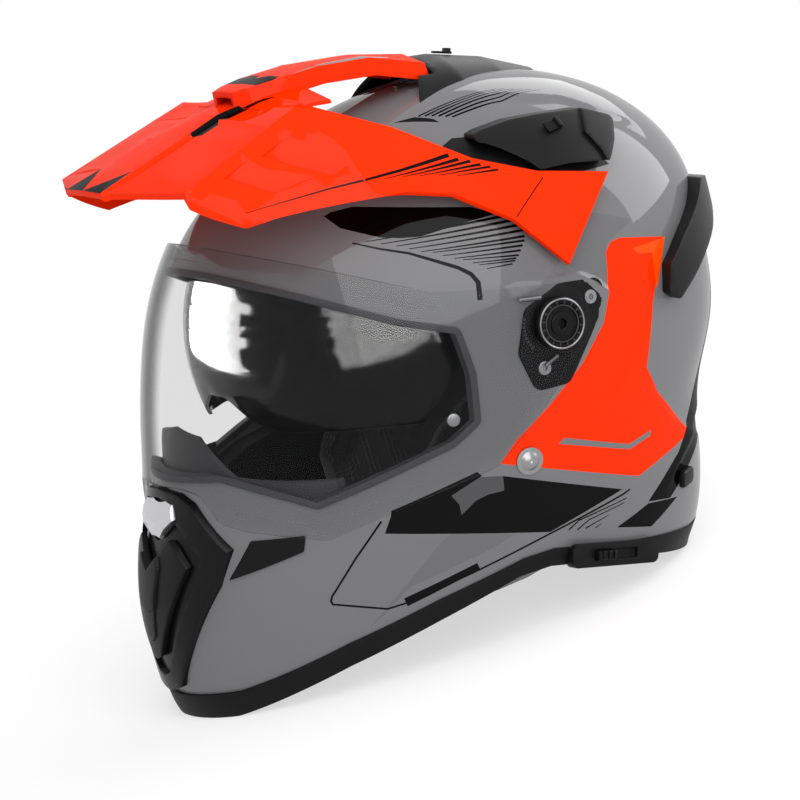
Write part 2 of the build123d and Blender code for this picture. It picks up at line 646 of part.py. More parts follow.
def make_pivot_cap(side):
    """Turned cap and boss that the visor's ear turns on, with a rim, a disc and a hexagon socket."""
    plate_face = hull_x(0, PIVOT_HEIGHT) + PLATE_PROUD
    head_foot = SHELL_WIDTH / 2 + VISOR_GAP + VISOR_WALL + RUN_GAP
    place = Plane(origin=(side * plate_face, 0, PIVOT_HEIGHT), x_dir=(0, side, 0), z_dir=(side, 0, 0))
    lift = head_foot - plate_face
    boss = Cylinder(CAP_BOSS_RADIUS, lift, align=ON_PLANE)
    head = Pos(0, 0, lift) * Cylinder(CAP_RADIUS, CAP_WALL, align=ON_PLANE)
    head = chamfer(head.edges().group_by(Axis.Z)[-1], CAP_WALL * 0.3)
    top = lift + CAP_WALL
    ring = Pos(0, 0, top - CAP_WALL * 0.4) * (Cylinder(CAP_RADIUS * 0.78, CAP_WALL, align=ON_PLANE)
                                              - Cylinder(CAP_INNER_RADIUS, CAP_WALL, align=ON_PLANE))
    socket = Pos(0, 0, top - CAP_SOCKET) * extrude(RegularPolygon(CAP_SOCKET, 6), amount=CAP_SOCKET)
    cap = place * (boss + head - ring - socket)
    return cap - hull(-PLATE_PROUD)


def profile_face(station, top, wall_side, wall_crease):
    """Closed cross section of the peak plate at one station: its top line and the line under it."""
    (x0, z0), (x1, z1), (x2, z2), (x3, z3), (x4, z4) = top
    right = [(x1, z1), (x2, z2), (x3, z3), (x4, z4),
             (x4 - wall_side, z4), (x3 - wall_crease, z3 - PEAK_WALL), (x2, z2 - PEAK_WALL),
             (x1, z1 - PEAK_WALL)]
    ring = [(x0, z0)] + right + [(x0, z0 - PEAK_WALL)] + [(-x, z) for x, z in reversed(right)]
    return Face(Wire(Polyline(*[(x, station, z) for x, z in ring], close=True).edges()))


def peak_point(station, share):
    """Point on the peak plate's top: share -1 is the band's groove, 0 the crease, 1 the low edge."""
    half = SHELL_WIDTH / 2
    index = min(max(sum(row[0] <= station for row in PEAK_SHARES), 1), len(PEAK_SHARES) - 1)
    before, after = PEAK_SHARES[index - 1:index + 1]
    blend = (station - before[0]) / (after[0] - before[0])
    y, _, x1, z1, x3, z3, x4, z4 = [a + (b - a) * blend for a, b in zip(before, after)]
    groove = Vector(x1 * half + PEAK_GROOVE_RUN, y * SHELL_LENGTH, z1 * SHELL_HEIGHT - PEAK_GROOVE)
    crease = Vector(x3 * half, y * SHELL_LENGTH, z3 * SHELL_HEIGHT)
    low = Vector(x4 * half, y * SHELL_LENGTH, z4 * SHELL_HEIGHT)
    if share < 0:
        return crease + (groove - crease) * -share
    return crease + (low - crease) * share


def ruled_block(*outlines):
    """Ruled block through flat outlines with equally many corners."""
    return loft([Face(Wire(Polyline(*outline, close=True).edges())) for outline in outlines], ruled=True)


def make_scoop(corners):
    """Cutter of a ramped scoop: deep along its lower front edge, flush along its upper rear edge."""
    tip, top, tail, heel = [peak_point(*corner) for corner in corners]
    out = (top - tip).cross(heel - tip).normalized()
    if out.X < 0:
        out = out * -1
    quads = []
    for deep, flush in ((tip, top), (heel, tail)):
        quads.append((deep + out * SCOOP_OVER, flush + out * SCOOP_OVER,
                      flush - out * SCOOP_FLUSH, deep - out * SCOOP_DEPTH))
    return ruled_block(*quads)


def make_hump():
    """Raised end of the left panel beside the bridge, with a slope down to the panel."""
    half = SHELL_WIDTH / 2
    outlines = []
    for y, near_x, near_z, edge_x, edge_z, foot_x, foot_z in HUMP_SHARES:
        floor = foot_z * SHELL_HEIGHT - HUMP_ROOT
        outline = [(near_x * half, floor), (near_x * half, near_z * SHELL_HEIGHT),
                   (edge_x * half, edge_z * SHELL_HEIGHT), (foot_x * half, foot_z * SHELL_HEIGHT),
                   (foot_x * half, floor)]
        outlines.append([(x, y * SHELL_LENGTH, z) for x, z in outline])
    return ruled_block(*outlines)


def make_peak():
    """Peak: folded plate with a centre band and scoops, a bridge to the crown and two side arms."""
    half = SHELL_WIDTH / 2
    plate_faces = []
    for y, z0, x1, z1, x3, z3, x4, z4 in PEAK_SHARES:
        top = [(0, z0 * SHELL_HEIGHT), (x1 * half, z1 * SHELL_HEIGHT),
               (x1 * half + PEAK_GROOVE_RUN, z1 * SHELL_HEIGHT - PEAK_GROOVE),
               (x3 * half, z3 * SHELL_HEIGHT), (x4 * half, z4 * SHELL_HEIGHT)]
        plate_faces.append(profile_face(y * SHELL_LENGTH, top, PEAK_WALL, PEAK_CREASE_WALL))
    plate = loft(plate_faces, ruled=True) & plan_prism(PEAK_PLAN_SHARES)
    bridge_faces = []
    for y, z0, x1, z1 in BRIDGE_SHARES:
        crown = z0 * SHELL_HEIGHT
        edge = z1 * SHELL_HEIGHT
        x = x1 * half
        foot = edge - BRIDGE_LEG
        right = [(x, edge), (x + BRIDGE_LEAN, foot), (x + BRIDGE_LEAN - PEAK_WALL, foot),
                 (x - PEAK_WALL, edge - PEAK_WALL)]
        ring = [(0, crown)] + right + [(0, crown - PEAK_WALL)] + [(-a, b) for a, b in reversed(right)]
        points = [(a, y * SHELL_LENGTH, b) for a, b in ring]
        bridge_faces.append(Face(Wire(Polyline(*points, close=True).edges())))
    bridge = loft(bridge_faces, ruled=True)
    flank = make_arm() + make_hump()
    peak = plate + bridge + flank + mirror(flank, Plane.YZ)
    for corners in SCOOP_SHARES:
        scoop = make_scoop(corners)
        peak = peak - scoop - mirror(scoop, Plane.YZ)
    return peak


def make_arm():
    """Left side arm of the peak, from the plate's rear edge to the tip below the side vent."""
    half = SHELL_WIDTH / 2
    y, _, _, _, x3, z3, x4, z4 = PEAK_SHARES[-1]
    upper = Vector(x3 * half, y * SHELL_LENGTH, z3 * SHELL_HEIGHT)
    lower = Vector(x4 * half, y * SHELL_LENGTH, z4 * SHELL_HEIGHT)
    rows = [(upper, lower, lower - Vector(PEAK_WALL, 0, 0), upper - Vector(PEAK_CREASE_WALL, 0, PEAK_WALL))]
    pairs = [(upper, lower)]
    for ux, uy, uz, lx, ly, lz in ARM_SHARES:
        pairs.append((Vector(ux * half, uy * SHELL_LENGTH, uz * SHELL_HEIGHT),
                      Vector(lx * half, ly * SHELL_LENGTH, lz * SHELL_HEIGHT)))
    for (before_up, before_low), (up, low) in zip(pairs, pairs[1:]):
        run = (up + low) - (before_up + before_low)
        inward = (up - low).cross(run).normalized() * PEAK_WALL
        if inward.X > 0:
            inward = inward * -1
        rows.append((up, low, low + inward, up + inward))
    faces = [Face(Wire(Polyline(*row, close=True).edges())) for row in rows]
    return loft(faces, ruled=True)


def make_peak_mounts():
    """Stand-offs under the peak's arms, seated on the shell."""
    mounts = []
    for side in (1, -1):
        place = flank_plane(*MOUNT_SHARES, SEAT_GAP, side)
        post = place * Cylinder(MOUNT_RADIUS, MOUNT_REACH, align=ON_PLANE)
        mounts.append(post - hull(-SEAT_GAP))
    return mounts


def arch_loft(drop, narrow):
    """Ruled loft of arches along the crown, lowered by drop and drawn in by narrow."""
    faces = []
    for y, half, top, foot in TOP_VENT_SHARES:
        x = half * SHELL_WIDTH / 2 - narrow
        crown = (0, y * SHELL_LENGTH, top * SHELL_HEIGHT - drop)
        right = (x, y * SHELL_LENGTH, foot * SHELL_HEIGHT)
        left = (-x, y * SHELL_LENGTH, foot * SHELL_HEIGHT)
        faces.append(Face(Wire([ThreePointArc(left, crown, right), Line(right, left)])))
    return loft(faces, ruled=True)


def make_top_vent_cover():
    """Humped cover of the crown vent, open to the front on both sides of the peak's bridge."""
    outside = arch_loft(0, 0) & plan_prism(TOP_VENT_PLAN_SHARES)
    mouth = Box(2 * SHELL_WIDTH, TOP_VENT_ROOM, 2 * SHELL_HEIGHT)
    hollow = arch_loft(TOP_VENT_WALL, TOP_VENT_WALL) & (Pos(0, 0, SHELL_HEIGHT) * mouth)
    return outside - hollow - hull(-SEAT_GAP)


def top_slider_plane():
    """Plane on the crown vent's ridge where its slider sits: X runs to the rear, down the ridge."""
    first, second = TOP_VENT_SHARES[1:3]
    start = Vector(0, first[0] * SHELL_LENGTH, first[2] * SHELL_HEIGHT)
    end = Vector(0, second[0] * SHELL_LENGTH, second[2] * SHELL_HEIGHT)
    along = (end - start).normalized()
    middle = start + (end - start) * TOP_SLIDER_PLACE
    return Plane(middle, x_dir=along, z_dir=Vector(1, 0, 0).cross(along))


def make_slider():
    """Ribbed thumb slider, lying on its plane's XY with its length along X."""
    block = Box(SLIDER_LENGTH, SLIDER_WIDTH, SLIDER_HEIGHT * 0.4, align=ON_PLANE)
    rib = Box(SLIDER_LENGTH * 0.25, SLIDER_WIDTH, SLIDER_HEIGHT, align=ON_PLANE)
    return block + Pos(SLIDER_LENGTH * 0.3, 0, 0) * rib


def make_side_vent(side):
    """Shoulder vent cover: a thin roof that is open to the front, with a raised rear end."""
    region = one_side(side_prism(SIDE_VENT_SHARES, SIDE_VENT_CORNER), side)
    room = hull(-SIDE_VENT_PROUD + SIDE_VENT_WALL) & one_side(side_prism(SIDE_VENT_MOUTH_SHARES), side)
    cover = layer(hull(-SIDE_VENT_PROUD), hull(-SEAT_GAP), region) - room
    step_region = region & side_prism(SIDE_VENT_STEP_SHARES)
    return cover + layer(hull(-SIDE_VENT_PROUD - SIDE_VENT_STEP), hull(-SIDE_VENT_PROUD / 2), step_region)


def make_rear_vent(side):
    """Exhaust blade at the rear quarter."""
    region = one_side(side_prism(REAR_VENT_SHARES, SIDE_VENT_CORNER), side)
    return layer(hull(-REAR_VENT_PROUD), hull(-SEAT_GAP), region)


def make_chin_vent():
    """Chin vent housing: a raised frame round a well."""
    frame = layer(hull(-CHIN_VENT_PROUD), hull(-SEAT_GAP), front_prism(CHIN_VENT_SHARES))
    well = front_prism(CHIN_VENT_WELL_SHARES) - hull(-SEAT_GAP - CHIN_VENT_FLOOR)
    return frame - well - front_prism(BUTTON_ROOM_SHARES)


def make_chin_shutter():
    """Sliding chin vent shutter: a V-shaped blade with two louvres that step down."""
    back = hull(-SEAT_GAP - CHIN_VENT_FLOOR - SHUTTER_GAP)
    outline = front_prism(SHUTTER_SHARES)
    shutter = layer(hull(-CHIN_VENT_PROUD - SHUTTER_PROUD), back, outline)
    for steps, shares in ((2, UPPER_LOUVRE_SHARES), (1, LOWER_LOUVRE_SHARES)):
        face = hull(-CHIN_VENT_PROUD - SHUTTER_PROUD - steps * LOUVRE_STEP)
        shutter += layer(face, hull(-CHIN_VENT_PROUD), outline & front_prism(shares))
    return shutter


def make_visor_button():
    """Lock button above the chin vent, with a faceted face."""
    button = layer(hull(-BUTTON_PROUD), hull(-BUTTON_TRAVEL - RUN_GAP), front_prism(BUTTON_SHARES))
    front = level_row(BUTTON_RIDGE / SHELL_HEIGHT)[1] * SHELL_LENGTH + BUTTON_PROUD
    for tilt in (BUTTON_TOP_TILT, BUTTON_FOOT_TILT):
        lean = radians(tilt)
        face = Plane((0, -front, BUTTON_RIDGE), x_dir=(1, 0, 0), z_dir=(0, -cos(lean), sin(lean)))
        button -= face * Box(SHELL_WIDTH, SHELL_HEIGHT, SHELL_WIDTH, align=ON_PLANE)
    return button


def make_side_inlet(side):
    """Wedge-shaped inlet beside the chin vent."""
    region = one_side(side_prism(INLET_SHARES) - front_prism(CHIN_VENT_SHARES), side)
    return layer(hull(-INLET_PROUD), hull(-SEAT_GAP), region)


def make_breath_deflector():
    """Breath deflector that stands behind the lower edge of the eye port."""
    region = front_prism(DEFLECTOR_SHARES) & side_prism(PORT_SHARES, PORT_CORNER, CHIN_LINER_GAP)
    return layer(hull(DEFLECTOR_INSET), hull(DEFLECTOR_INSET + DEFLECTOR_WALL), region)


def lever_plane():
    """Plane on the outer face of the sun visor lever's housing: X runs to the rear along the rim."""
    front = side_point(*HOUSING_FRONT_SHARES)
    rear = side_point(*HOUSING_REAR_SHARES)
    along = (rear - front).normalized()
    out = along.cross(Vector(0, 0, 1)).normalized()
    if out.X < 0:
        out = out * -1
    return Plane((front + rear) / 2 + out * HOUSING_OUT, x_dir=along, z_dir=out)


def make_lever_housing():
    """Housing of the sun visor lever on the left lower rim, with its channel."""
    block = Box(HOUSING_LENGTH, HOUSING_HEIGHT, HOUSING_DEPTH, align=TOP_AT_PLANE)
    block = fillet(block.edges().filter_by(Axis.Z), HOUSING_HEIGHT * 0.3)
    channel = Box(LEVER_LENGTH + LEVER_TRAVEL + 2 * RUN_GAP, LEVER_WIDTH + 2 * RUN_GAP, CHANNEL_DEPTH,
                  align=TOP_AT_PLANE)
    return (lever_plane() * (block - channel)) - hull(-TRIM_PROUD - SEAT_GAP)


def make_lever():
    """Sun visor lever: a ribbed slider in the housing's channel."""
    stem = Pos(0, 0, -CHANNEL_DEPTH + RUN_GAP) * Box(
        LEVER_LENGTH, LEVER_WIDTH, CHANNEL_DEPTH - RUN_GAP + LEVER_PROUD, align=ON_PLANE)
    rib_form = Box(LEVER_LENGTH * 0.1, LEVER_WIDTH, LEVER_PROUD * 0.5, align=ON_PLANE)
    ribs = [Pos(LEVER_LENGTH * share, 0, LEVER_PROUD) * rib_form for share in (-0.3, 0, 0.3)]
    lever = stem
    for rib in ribs:
        lever += rib
    return lever_plane() * Pos(-LEVER_TRAVEL / 2, 0, 0) * lever


def make_rivets():
    """Domed rivets of the chin strap, one on each side, each on a thin ring."""
    rivets = []
    for side in (1, -1):
        place = flank_plane(*RIVET_SHARES, SEAT_GAP, side)
        ring = Cylinder(RIVET_RADIUS + RIVET_RING, RIVET_RING * 0.5, align=ON_PLANE)
        radius = (RIVET_RADIUS ** 2 + RIVET_PROUD ** 2) / (2 * RIVET_PROUD)
        dome = Pos(0, 0, RIVET_PROUD - radius) * Sphere(radius)
        dome &= Cylinder(RIVET_RADIUS, RIVET_PROUD, align=ON_PLANE)
        rivets.append((place * (ring + dome)) - hull(-SEAT_GAP))
    return rivets


def make_studs():
    """Studs with rounded corners low on the rear quarters."""
    studs = []
    for side in (1, -1):
        place = flank_plane(*STUD_SHARES, 0, side)
        stud = Box(STUD_LENGTH, STUD_WIDTH, STUD_PROUD, align=ON_PLANE)
        stud = fillet(stud.edges().filter_by(Axis.Z), STUD_CORNER)
        stud = chamfer(stud.edges().group_by(Axis.Z)[-1], STUD_PROUD * 0.25)
        studs.append((place * stud) - hull(-SEAT_GAP))
    return studs


def make_strap(side):
    """Chin strap: a flat band from its rivet, round the pad's foot, to its free end."""
    points = [(side * x * SHELL_WIDTH / 2, z * SHELL_HEIGHT) for x, z in STRAP_SHARES]
    band = trace_band(points)
    webbing = extrude(Plane.XZ * band, amount=STRAP_WIDTH / 2, both=True)
    return Pos(0, RIVET_SHARES[0] * SHELL_LENGTH, 0) * webbing


def trace_band(points):
    """Face of a thin band along a line of points, as wide as the strap is thick."""
    outer = []
    inner = []
    for index, point in enumerate(points):
        here = Vector(*point)
        before = Vector(*points[max(index - 1, 0)])
        after = Vector(*points[min(index + 1, len(points) - 1)])
        along = (after - before).normalized()
        aside = Vector(-along.Y, along.X) * (STRAP_WALL / 2)
        outer.append(here + aside)
        inner.append(here - aside)
    ring = [(v.X, v.Y) for v in outer + inner[::-1]]
    return make_face(Polyline(*ring, close=True))


def make_d_rings():
    """Pair of D rings on the right strap's free end."""
    x, z = STRAP_SHARES[-1]
    rings = []
    pitch = RING_WIRE + SEAT_GAP
    for drop in (0, 1):
        centre = -x * SHELL_WIDTH / 2 + RING_RADIUS * 0.7 + drop * RING_WIRE
        height = z * SHELL_HEIGHT - (STRAP_WALL + RING_WIRE) / 2 - SEAT_GAP - drop * pitch
        place = Pos(centre, RIVET_SHARES[0] * SHELL_LENGTH, height)
        ring = place * Torus(RING_RADIUS, RING_WIRE / 2)
        rings.append(ring)
    return rings


def make_sliders():
    """Thumb sliders of the crown vent and of the two shoulder vents, by node name."""
    ridge = top_slider_plane()
    sliders = {"top_vent_slider": ridge * Pos(-TOP_VENT_TRAVEL / 2, 0, RUN_GAP) * make_slider()}
    for name, side in SIDES.items():
        seat = flank_plane(*SIDE_SLIDER_SHARES, SIDE_SLIDER_LIFT, side)
        sliders["side_vent_slider_" + name] = seat * Pos(-SIDE_VENT_TRAVEL / 2, 0, 0) * make_slider()
    return sliders


SIDES = {"left": 1, "right": -1}


def make_all():
    """Every piece of the helmet by node name; a list is a group of like solids."""
    parts = {
        "outer_shell": make_outer_shell(),
        "lower_rim_trim": make_rim_trim(),
        "eyeport_gasket": make_gasket(),
        "eps_liner": make_eps_liner(),
        "chin_bar_liner": make_chin_liner(),
        "comfort_liner": make_comfort_liner(),
        "neck_roll": make_neck_roll(),
        "chin_curtain": make_chin_curtain(),
        "clear_visor": make_clear_visor(),
        "pinlock_pins": make_pinlock_pins(),
        "sun_visor": make_sun_visor(),
        "sun_visor_pins": make_sun_pins(),
        "base_plate_screws": make_plate_screws(),
        "peak": make_peak(),
        "top_vent_cover": make_top_vent_cover(),
        "chin_vent_housing": make_chin_vent(),
        "chin_vent_shutter": make_chin_shutter(),
        "visor_lock_button": make_visor_button(),
        "breath_deflector": make_breath_deflector(),
        "sun_visor_lever_housing": make_lever_housing(),
        "sun_visor_lever": make_lever(),
        "strap_rivets": make_rivets(),
        "strap_d_rings": make_d_rings(),
        "rear_studs": make_studs(),
    }
    parts["peak_mounts"] = [post - parts["peak"] for post in make_peak_mounts()]
    parts["cheek_pad_left"], parts["cheek_pad_right"] = make_cheek_pads()
    left = SIDES["left"]
    handed = {
        "visor_base_plate_": make_base_plate(left),
        "visor_pivot_cap_": make_pivot_cap(left),
        "side_vent_cover_": make_side_vent(left),
        "rear_vent_": make_rear_vent(left),
        "chin_side_inlet_": make_side_inlet(left),
    }
    for name, piece in handed.items():
        parts[name + "left"] = piece
        parts[name + "right"] = mirror(piece, Plane.YZ)
    for name, side in SIDES.items():
        parts["chin_strap_" + name] = make_strap(side)
    parts.update(make_sliders())
    return parts


os.makedirs("parts", exist_ok=True)
for node, made in make_all().items():
    pieces = made if isinstance(made, list) else [made]
    solids = [solid for piece in pieces for solid in piece.solids()]
    export_step(Compound(children=solids), f"parts/{node}.step")
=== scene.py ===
# %% [markdown]
# # A dual sport helmet, piece by piece
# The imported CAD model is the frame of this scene: it gives every piece its place and its size. Here the
# pieces that show get their real surfaces: a lacquered shell, a folded peak, clear and smoked
# polycarbonate, padded cloth, rubber and steel. All numbers below are in millimetres and are turned into
# metres where a mesh is made.

# %% Load the frame
import json
import math

import bmesh
import bpy
import numpy as np
from mathutils import Matrix, Vector

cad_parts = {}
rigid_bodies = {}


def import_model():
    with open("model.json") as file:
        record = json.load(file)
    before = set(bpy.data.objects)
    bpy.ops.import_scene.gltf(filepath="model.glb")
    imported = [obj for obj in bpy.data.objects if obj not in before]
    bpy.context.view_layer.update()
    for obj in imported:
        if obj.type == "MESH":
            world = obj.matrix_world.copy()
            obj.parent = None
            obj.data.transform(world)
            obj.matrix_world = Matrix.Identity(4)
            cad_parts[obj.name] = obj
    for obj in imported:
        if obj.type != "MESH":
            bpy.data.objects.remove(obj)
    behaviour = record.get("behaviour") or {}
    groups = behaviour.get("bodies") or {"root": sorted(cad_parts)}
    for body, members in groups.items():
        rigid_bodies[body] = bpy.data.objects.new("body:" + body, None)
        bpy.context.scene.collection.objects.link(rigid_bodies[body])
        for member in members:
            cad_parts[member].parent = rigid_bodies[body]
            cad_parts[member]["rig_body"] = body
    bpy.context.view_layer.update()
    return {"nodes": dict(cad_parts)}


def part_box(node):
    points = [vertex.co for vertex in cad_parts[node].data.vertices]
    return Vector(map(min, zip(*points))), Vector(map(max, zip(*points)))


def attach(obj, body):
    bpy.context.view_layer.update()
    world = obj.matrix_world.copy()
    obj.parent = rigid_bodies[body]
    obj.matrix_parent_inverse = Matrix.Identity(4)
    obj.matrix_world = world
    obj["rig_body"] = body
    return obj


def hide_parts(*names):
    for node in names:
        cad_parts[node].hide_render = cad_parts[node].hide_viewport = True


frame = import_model()
nodes = frame["nodes"]
MM = 0.001
print("nodes loaded:", len(nodes))

# %% [markdown]
# ## The camera
# The picture looks at the wearer's left front from a little above, with a long lens, and the helmet hangs
# pitched forward. The helmet stays level here and the camera takes the pitch instead, so it is a little
# rolled. Its place is worked out from the angles, a point to look at and the distance.

# %% Camera
AZIMUTH, ELEVATION, PITCH = 63.0, 6.5, 17.0
DISTANCE = 1800.0
FOCUS_PIXELS = 3240.0
FRAME_PIXELS = 800
PITCH_CENTRE = Vector((0, 0, 162))
LOOK_OFFSET = Vector((0, 14.719, 52.797))
SHIFT_PIXELS = -20

turn = Matrix.Rotation(math.radians(-PITCH), 3, "X")
az, el = math.radians(AZIMUTH), math.radians(ELEVATION)
right = turn @ Vector((math.cos(az), math.sin(az), 0))
back = turn @ Vector((math.sin(az) * math.cos(el), -math.cos(az) * math.cos(el), math.sin(el)))
up = back.cross(right)
target = PITCH_CENTRE - turn @ LOOK_OFFSET
camera_data = bpy.data.cameras.new("camera")
camera_data.lens = FOCUS_PIXELS * camera_data.sensor_width / FRAME_PIXELS
camera_data.shift_x = SHIFT_PIXELS / FRAME_PIXELS
camera = bpy.data.objects.new("camera", camera_data)
bpy.context.scene.collection.objects.link(camera)
camera.matrix_world = Matrix.Translation((target + back * DISTANCE) * MM) @ Matrix(
    (right, up, back)).transposed().to_4x4()
bpy.context.scene.camera = camera
print("camera at", [round(c, 3) for c in camera.location], "lens", round(camera_data.lens, 1))

# %% [markdown]
# ## Helpers for materials
# Colours are written as the hex values that a paint chart gives, and turned to the linear values that the
# renderer works in. One small function adds a node with its settings and its links.

# %% Colour and node helpers
def linear(hex_colour):
    """A #RRGGBB colour as linear RGBA."""
    channels = [int(hex_colour[i:i + 2], 16) / 255 for i in (1, 3, 5)]
    return [c / 12.92 if c <= 0.04045 else ((c + 0.055) / 1.055) ** 2.4 for c in channels] + [1.0]


def add_node(tree, kind, inputs=(), **settings):
    """A node with its settings; inputs pairs a socket with a value or with another node's output."""
    made = tree.nodes.new(kind)
    for name, value in settings.items():
        setattr(made, name, value)
    for socket, value in dict(inputs).items():
        if isinstance(value, bpy.types.NodeSocket):
            tree.links.new(value, made.inputs[socket])
        else:
            made.inputs[socket].default_value = value
    return made


def new_material(name, **shader):
    """A material with its Principled shader's plain values set, as (material, tree, shader node)."""
    material = bpy.data.materials.new(name)
    material.use_nodes = True
    principled = material.node_tree.nodes["Principled BSDF"]
    for socket, value in shader.items():
        principled.inputs[socket.replace("_", " ").title().replace("Ior", "IOR")].default_value = value
    return material, material.node_tree, principled


def grain(tree, shader, size_mm, height_mm, detail=2.0):
    """Fine moulded grain or orange peel: noise of a real size, linked to the shader's normal."""
    place = add_node(tree, "ShaderNodeTexCoord")
    noise = add_node(tree, "ShaderNodeTexNoise",
                     {"Vector": place.outputs["Object"], "Scale": 1 / (size_mm * MM), "Detail": detail})
    bump = add_node(tree, "ShaderNodeBump", {"Height": noise.outputs["Fac"], "Distance": height_mm * MM,
                                             "Strength": 0.6})
    tree.links.new(bump.outputs["Normal"], shader.inputs["Normal"])
    return noise


# %% [markdown]
# ## Lacquers
# The shell is moulded composite under several coats: a primer, a colour coat and a thick clear coat that
# is sprayed and polished. The eye sees a colour under a hard mirror-like film with a faint orange peel.
# So each lacquer is a rough colour with a clear coat on top: a strong one on the grey, and a thinner one on
# the orange and the black, which have to stay deep.

# %% Lacquers
def lacquer(name, hex_colour, shade_hex, coat_share=0.6):
    """Lacquer whose colour drifts a little between two hex values, under its share of a clear coat."""
    material, tree, shader = new_material(name, roughness=0.5, specular_ior_level=0.0, coat_weight=coat_share,
                                          coat_roughness=0.03, coat_ior=1.5)
    place = add_node(tree, "ShaderNodeTexCoord")
    cloud = add_node(tree, "ShaderNodeTexNoise", {"Vector": place.outputs["Object"], "Scale": 14.0,
                                                  "Detail": 1.0})
    mix = add_node(tree, "ShaderNodeMixRGB", {"Fac": cloud.outputs["Fac"], "Color1": linear(hex_colour),
                                              "Color2": linear(shade_hex)})
    tree.links.new(mix.outputs["Color"], shader.inputs["Base Color"])
    grain(tree, shader, 2.2, 0.006)
    return material


grey_lacquer = lacquer("grey_lacquer", "#6C6C6E", "#69696B")
# painted shade: a grey a little darker than the shell's, for patches where its gloss reflects less light
mid_grey_lacquer = lacquer("mid_grey_lacquer", "#646466", "#616163")
dark_grey_lacquer = lacquer("dark_grey_lacquer", "#464648", "#434345")
orange_lacquer = lacquer("orange_lacquer", "#F52E00", "#F22C00", 0.15)
# painted highlight: a paler orange for a patch where the gloss shows a bright reflection
pale_orange_lacquer = lacquer("pale_orange_lacquer", "#FF4A06", "#FF4806", 0.25)
black_lacquer = lacquer("black_lacquer", "#040405", "#030303", 0.2)
print("lacquers:", [m.name for m in bpy.data.materials if "lacquer" in m.name])

# %% [markdown]
# ## Moulded plastics, rubber and metal
# Vents, side plates and the chin vent are black ABS from a spark-eroded mould, which leaves a very fine
# grain and a soft sheen. The rim trim is extruded EPDM rubber, duller and darker. Rivets and screws are zinc
# plated steel, and the visor lock button has silver paint over its plastic.

# %% Plastics, rubber and metal
def moulded(name, hex_colour, roughness, size_mm=0.7, height_mm=0.02, metallic=0.0):
    """A finish with grain of a real size and height, whose gloss wears a little unevenly."""
    material, tree, shader = new_material(name, base_color=linear(hex_colour), roughness=roughness,
                                          specular_ior_level=0.12, metallic=metallic)
    noise = grain(tree, shader, size_mm, height_mm, 3.0)
    wear = add_node(tree, "ShaderNodeMapRange", {"Value": noise.outputs["Fac"], "To Min": roughness - 0.05,
                                                 "To Max": roughness + 0.08})
    tree.links.new(wear.outputs["Result"], shader.inputs["Roughness"])
    return material


black_abs = moulded("black_abs", "#0F0F10", 0.40)
satin_black_abs = moulded("satin_black_abs", "#0E0E0F", 0.24, 1.2, 0.01)
grey_abs = moulded("grey_abs", "#3C3C3E", 0.38)
trim_rubber = moulded("trim_rubber", "#0D0D0E", 0.50, 1.0, 0.03)
port_rubber = moulded("port_rubber", "#434345", 0.45, 1.0, 0.02)
silver_paint = moulded("silver_paint", "#C4C4C6", 0.22, 0.5, 0.004, metallic=0.7)
zinc_steel = moulded("zinc_steel", "#8E8E90", 0.30, 0.4, 0.006, metallic=1.0)
foam_beads = moulded("foam_beads", "#131314", 0.85, 3.0, 0.25)
print("moulded finishes:", [m.name for m in bpy.data.materials if "lacquer" not in m.name])

# %% [markdown]
# ## Clear and smoked polycarbonate
# Both visors are injection moulded polycarbonate with a hard coat. The clear one keeps back about a sixth of
# the light where the eye looks straight through. Where the eye looks along the sheet it turns near black, a
# painted shade for the dark lines that refraction draws along its edges and its rim. Lamp light should reach
# what is behind it, so shadow rays find it nearly absent. The smoked one is so dark that it shows as a black
# mirror.

# %% Visor sheets
clear_polycarbonate, tree, shader = new_material("clear_polycarbonate", base_color=linear("#0E0F10"),
                                                 roughness=0.02, ior=1.5)
turned_away = add_node(tree, "ShaderNodeLayerWeight", {"Blend": 0.5})
# near black at grazing angles: painted shade for the dark lines of refraction at the edges and rim
grazing_shade = add_node(tree, "ShaderNodeMapRange", {"Value": turned_away.outputs["Facing"], "From Min": 0.60,
                                                  "From Max": 0.85, "To Min": 0.08, "To Max": 0.88})
ray_kind = add_node(tree, "ShaderNodeLightPath")
lit = add_node(tree, "ShaderNodeMapRange", {"Value": ray_kind.outputs["Is Shadow Ray"], "To Min": 1.0,
                                            "To Max": 0.2})
alpha = add_node(tree, "ShaderNodeMath", {0: grazing_shade.outputs["Result"], 1: lit.outputs["Result"]},
                 operation="MULTIPLY")
tree.links.new(alpha.outputs["Value"], shader.inputs["Alpha"])

smoke_polycarbonate, tree, shader = new_material("smoke_polycarbonate", base_color=linear("#050506"),
                                                 roughness=0.09, ior=1.45, specular_ior_level=0.2)
facing = add_node(tree, "ShaderNodeLayerWeight", {"Blend": 0.3})
tint = add_node(tree, "ShaderNodeMapRange", {"Value": facing.outputs["Facing"], "To Min": 0.88,
                                             "To Max": 0.98})
tree.links.new(tint.outputs["Result"], shader.inputs["Alpha"])
print("visor sheets: clear and smoked")
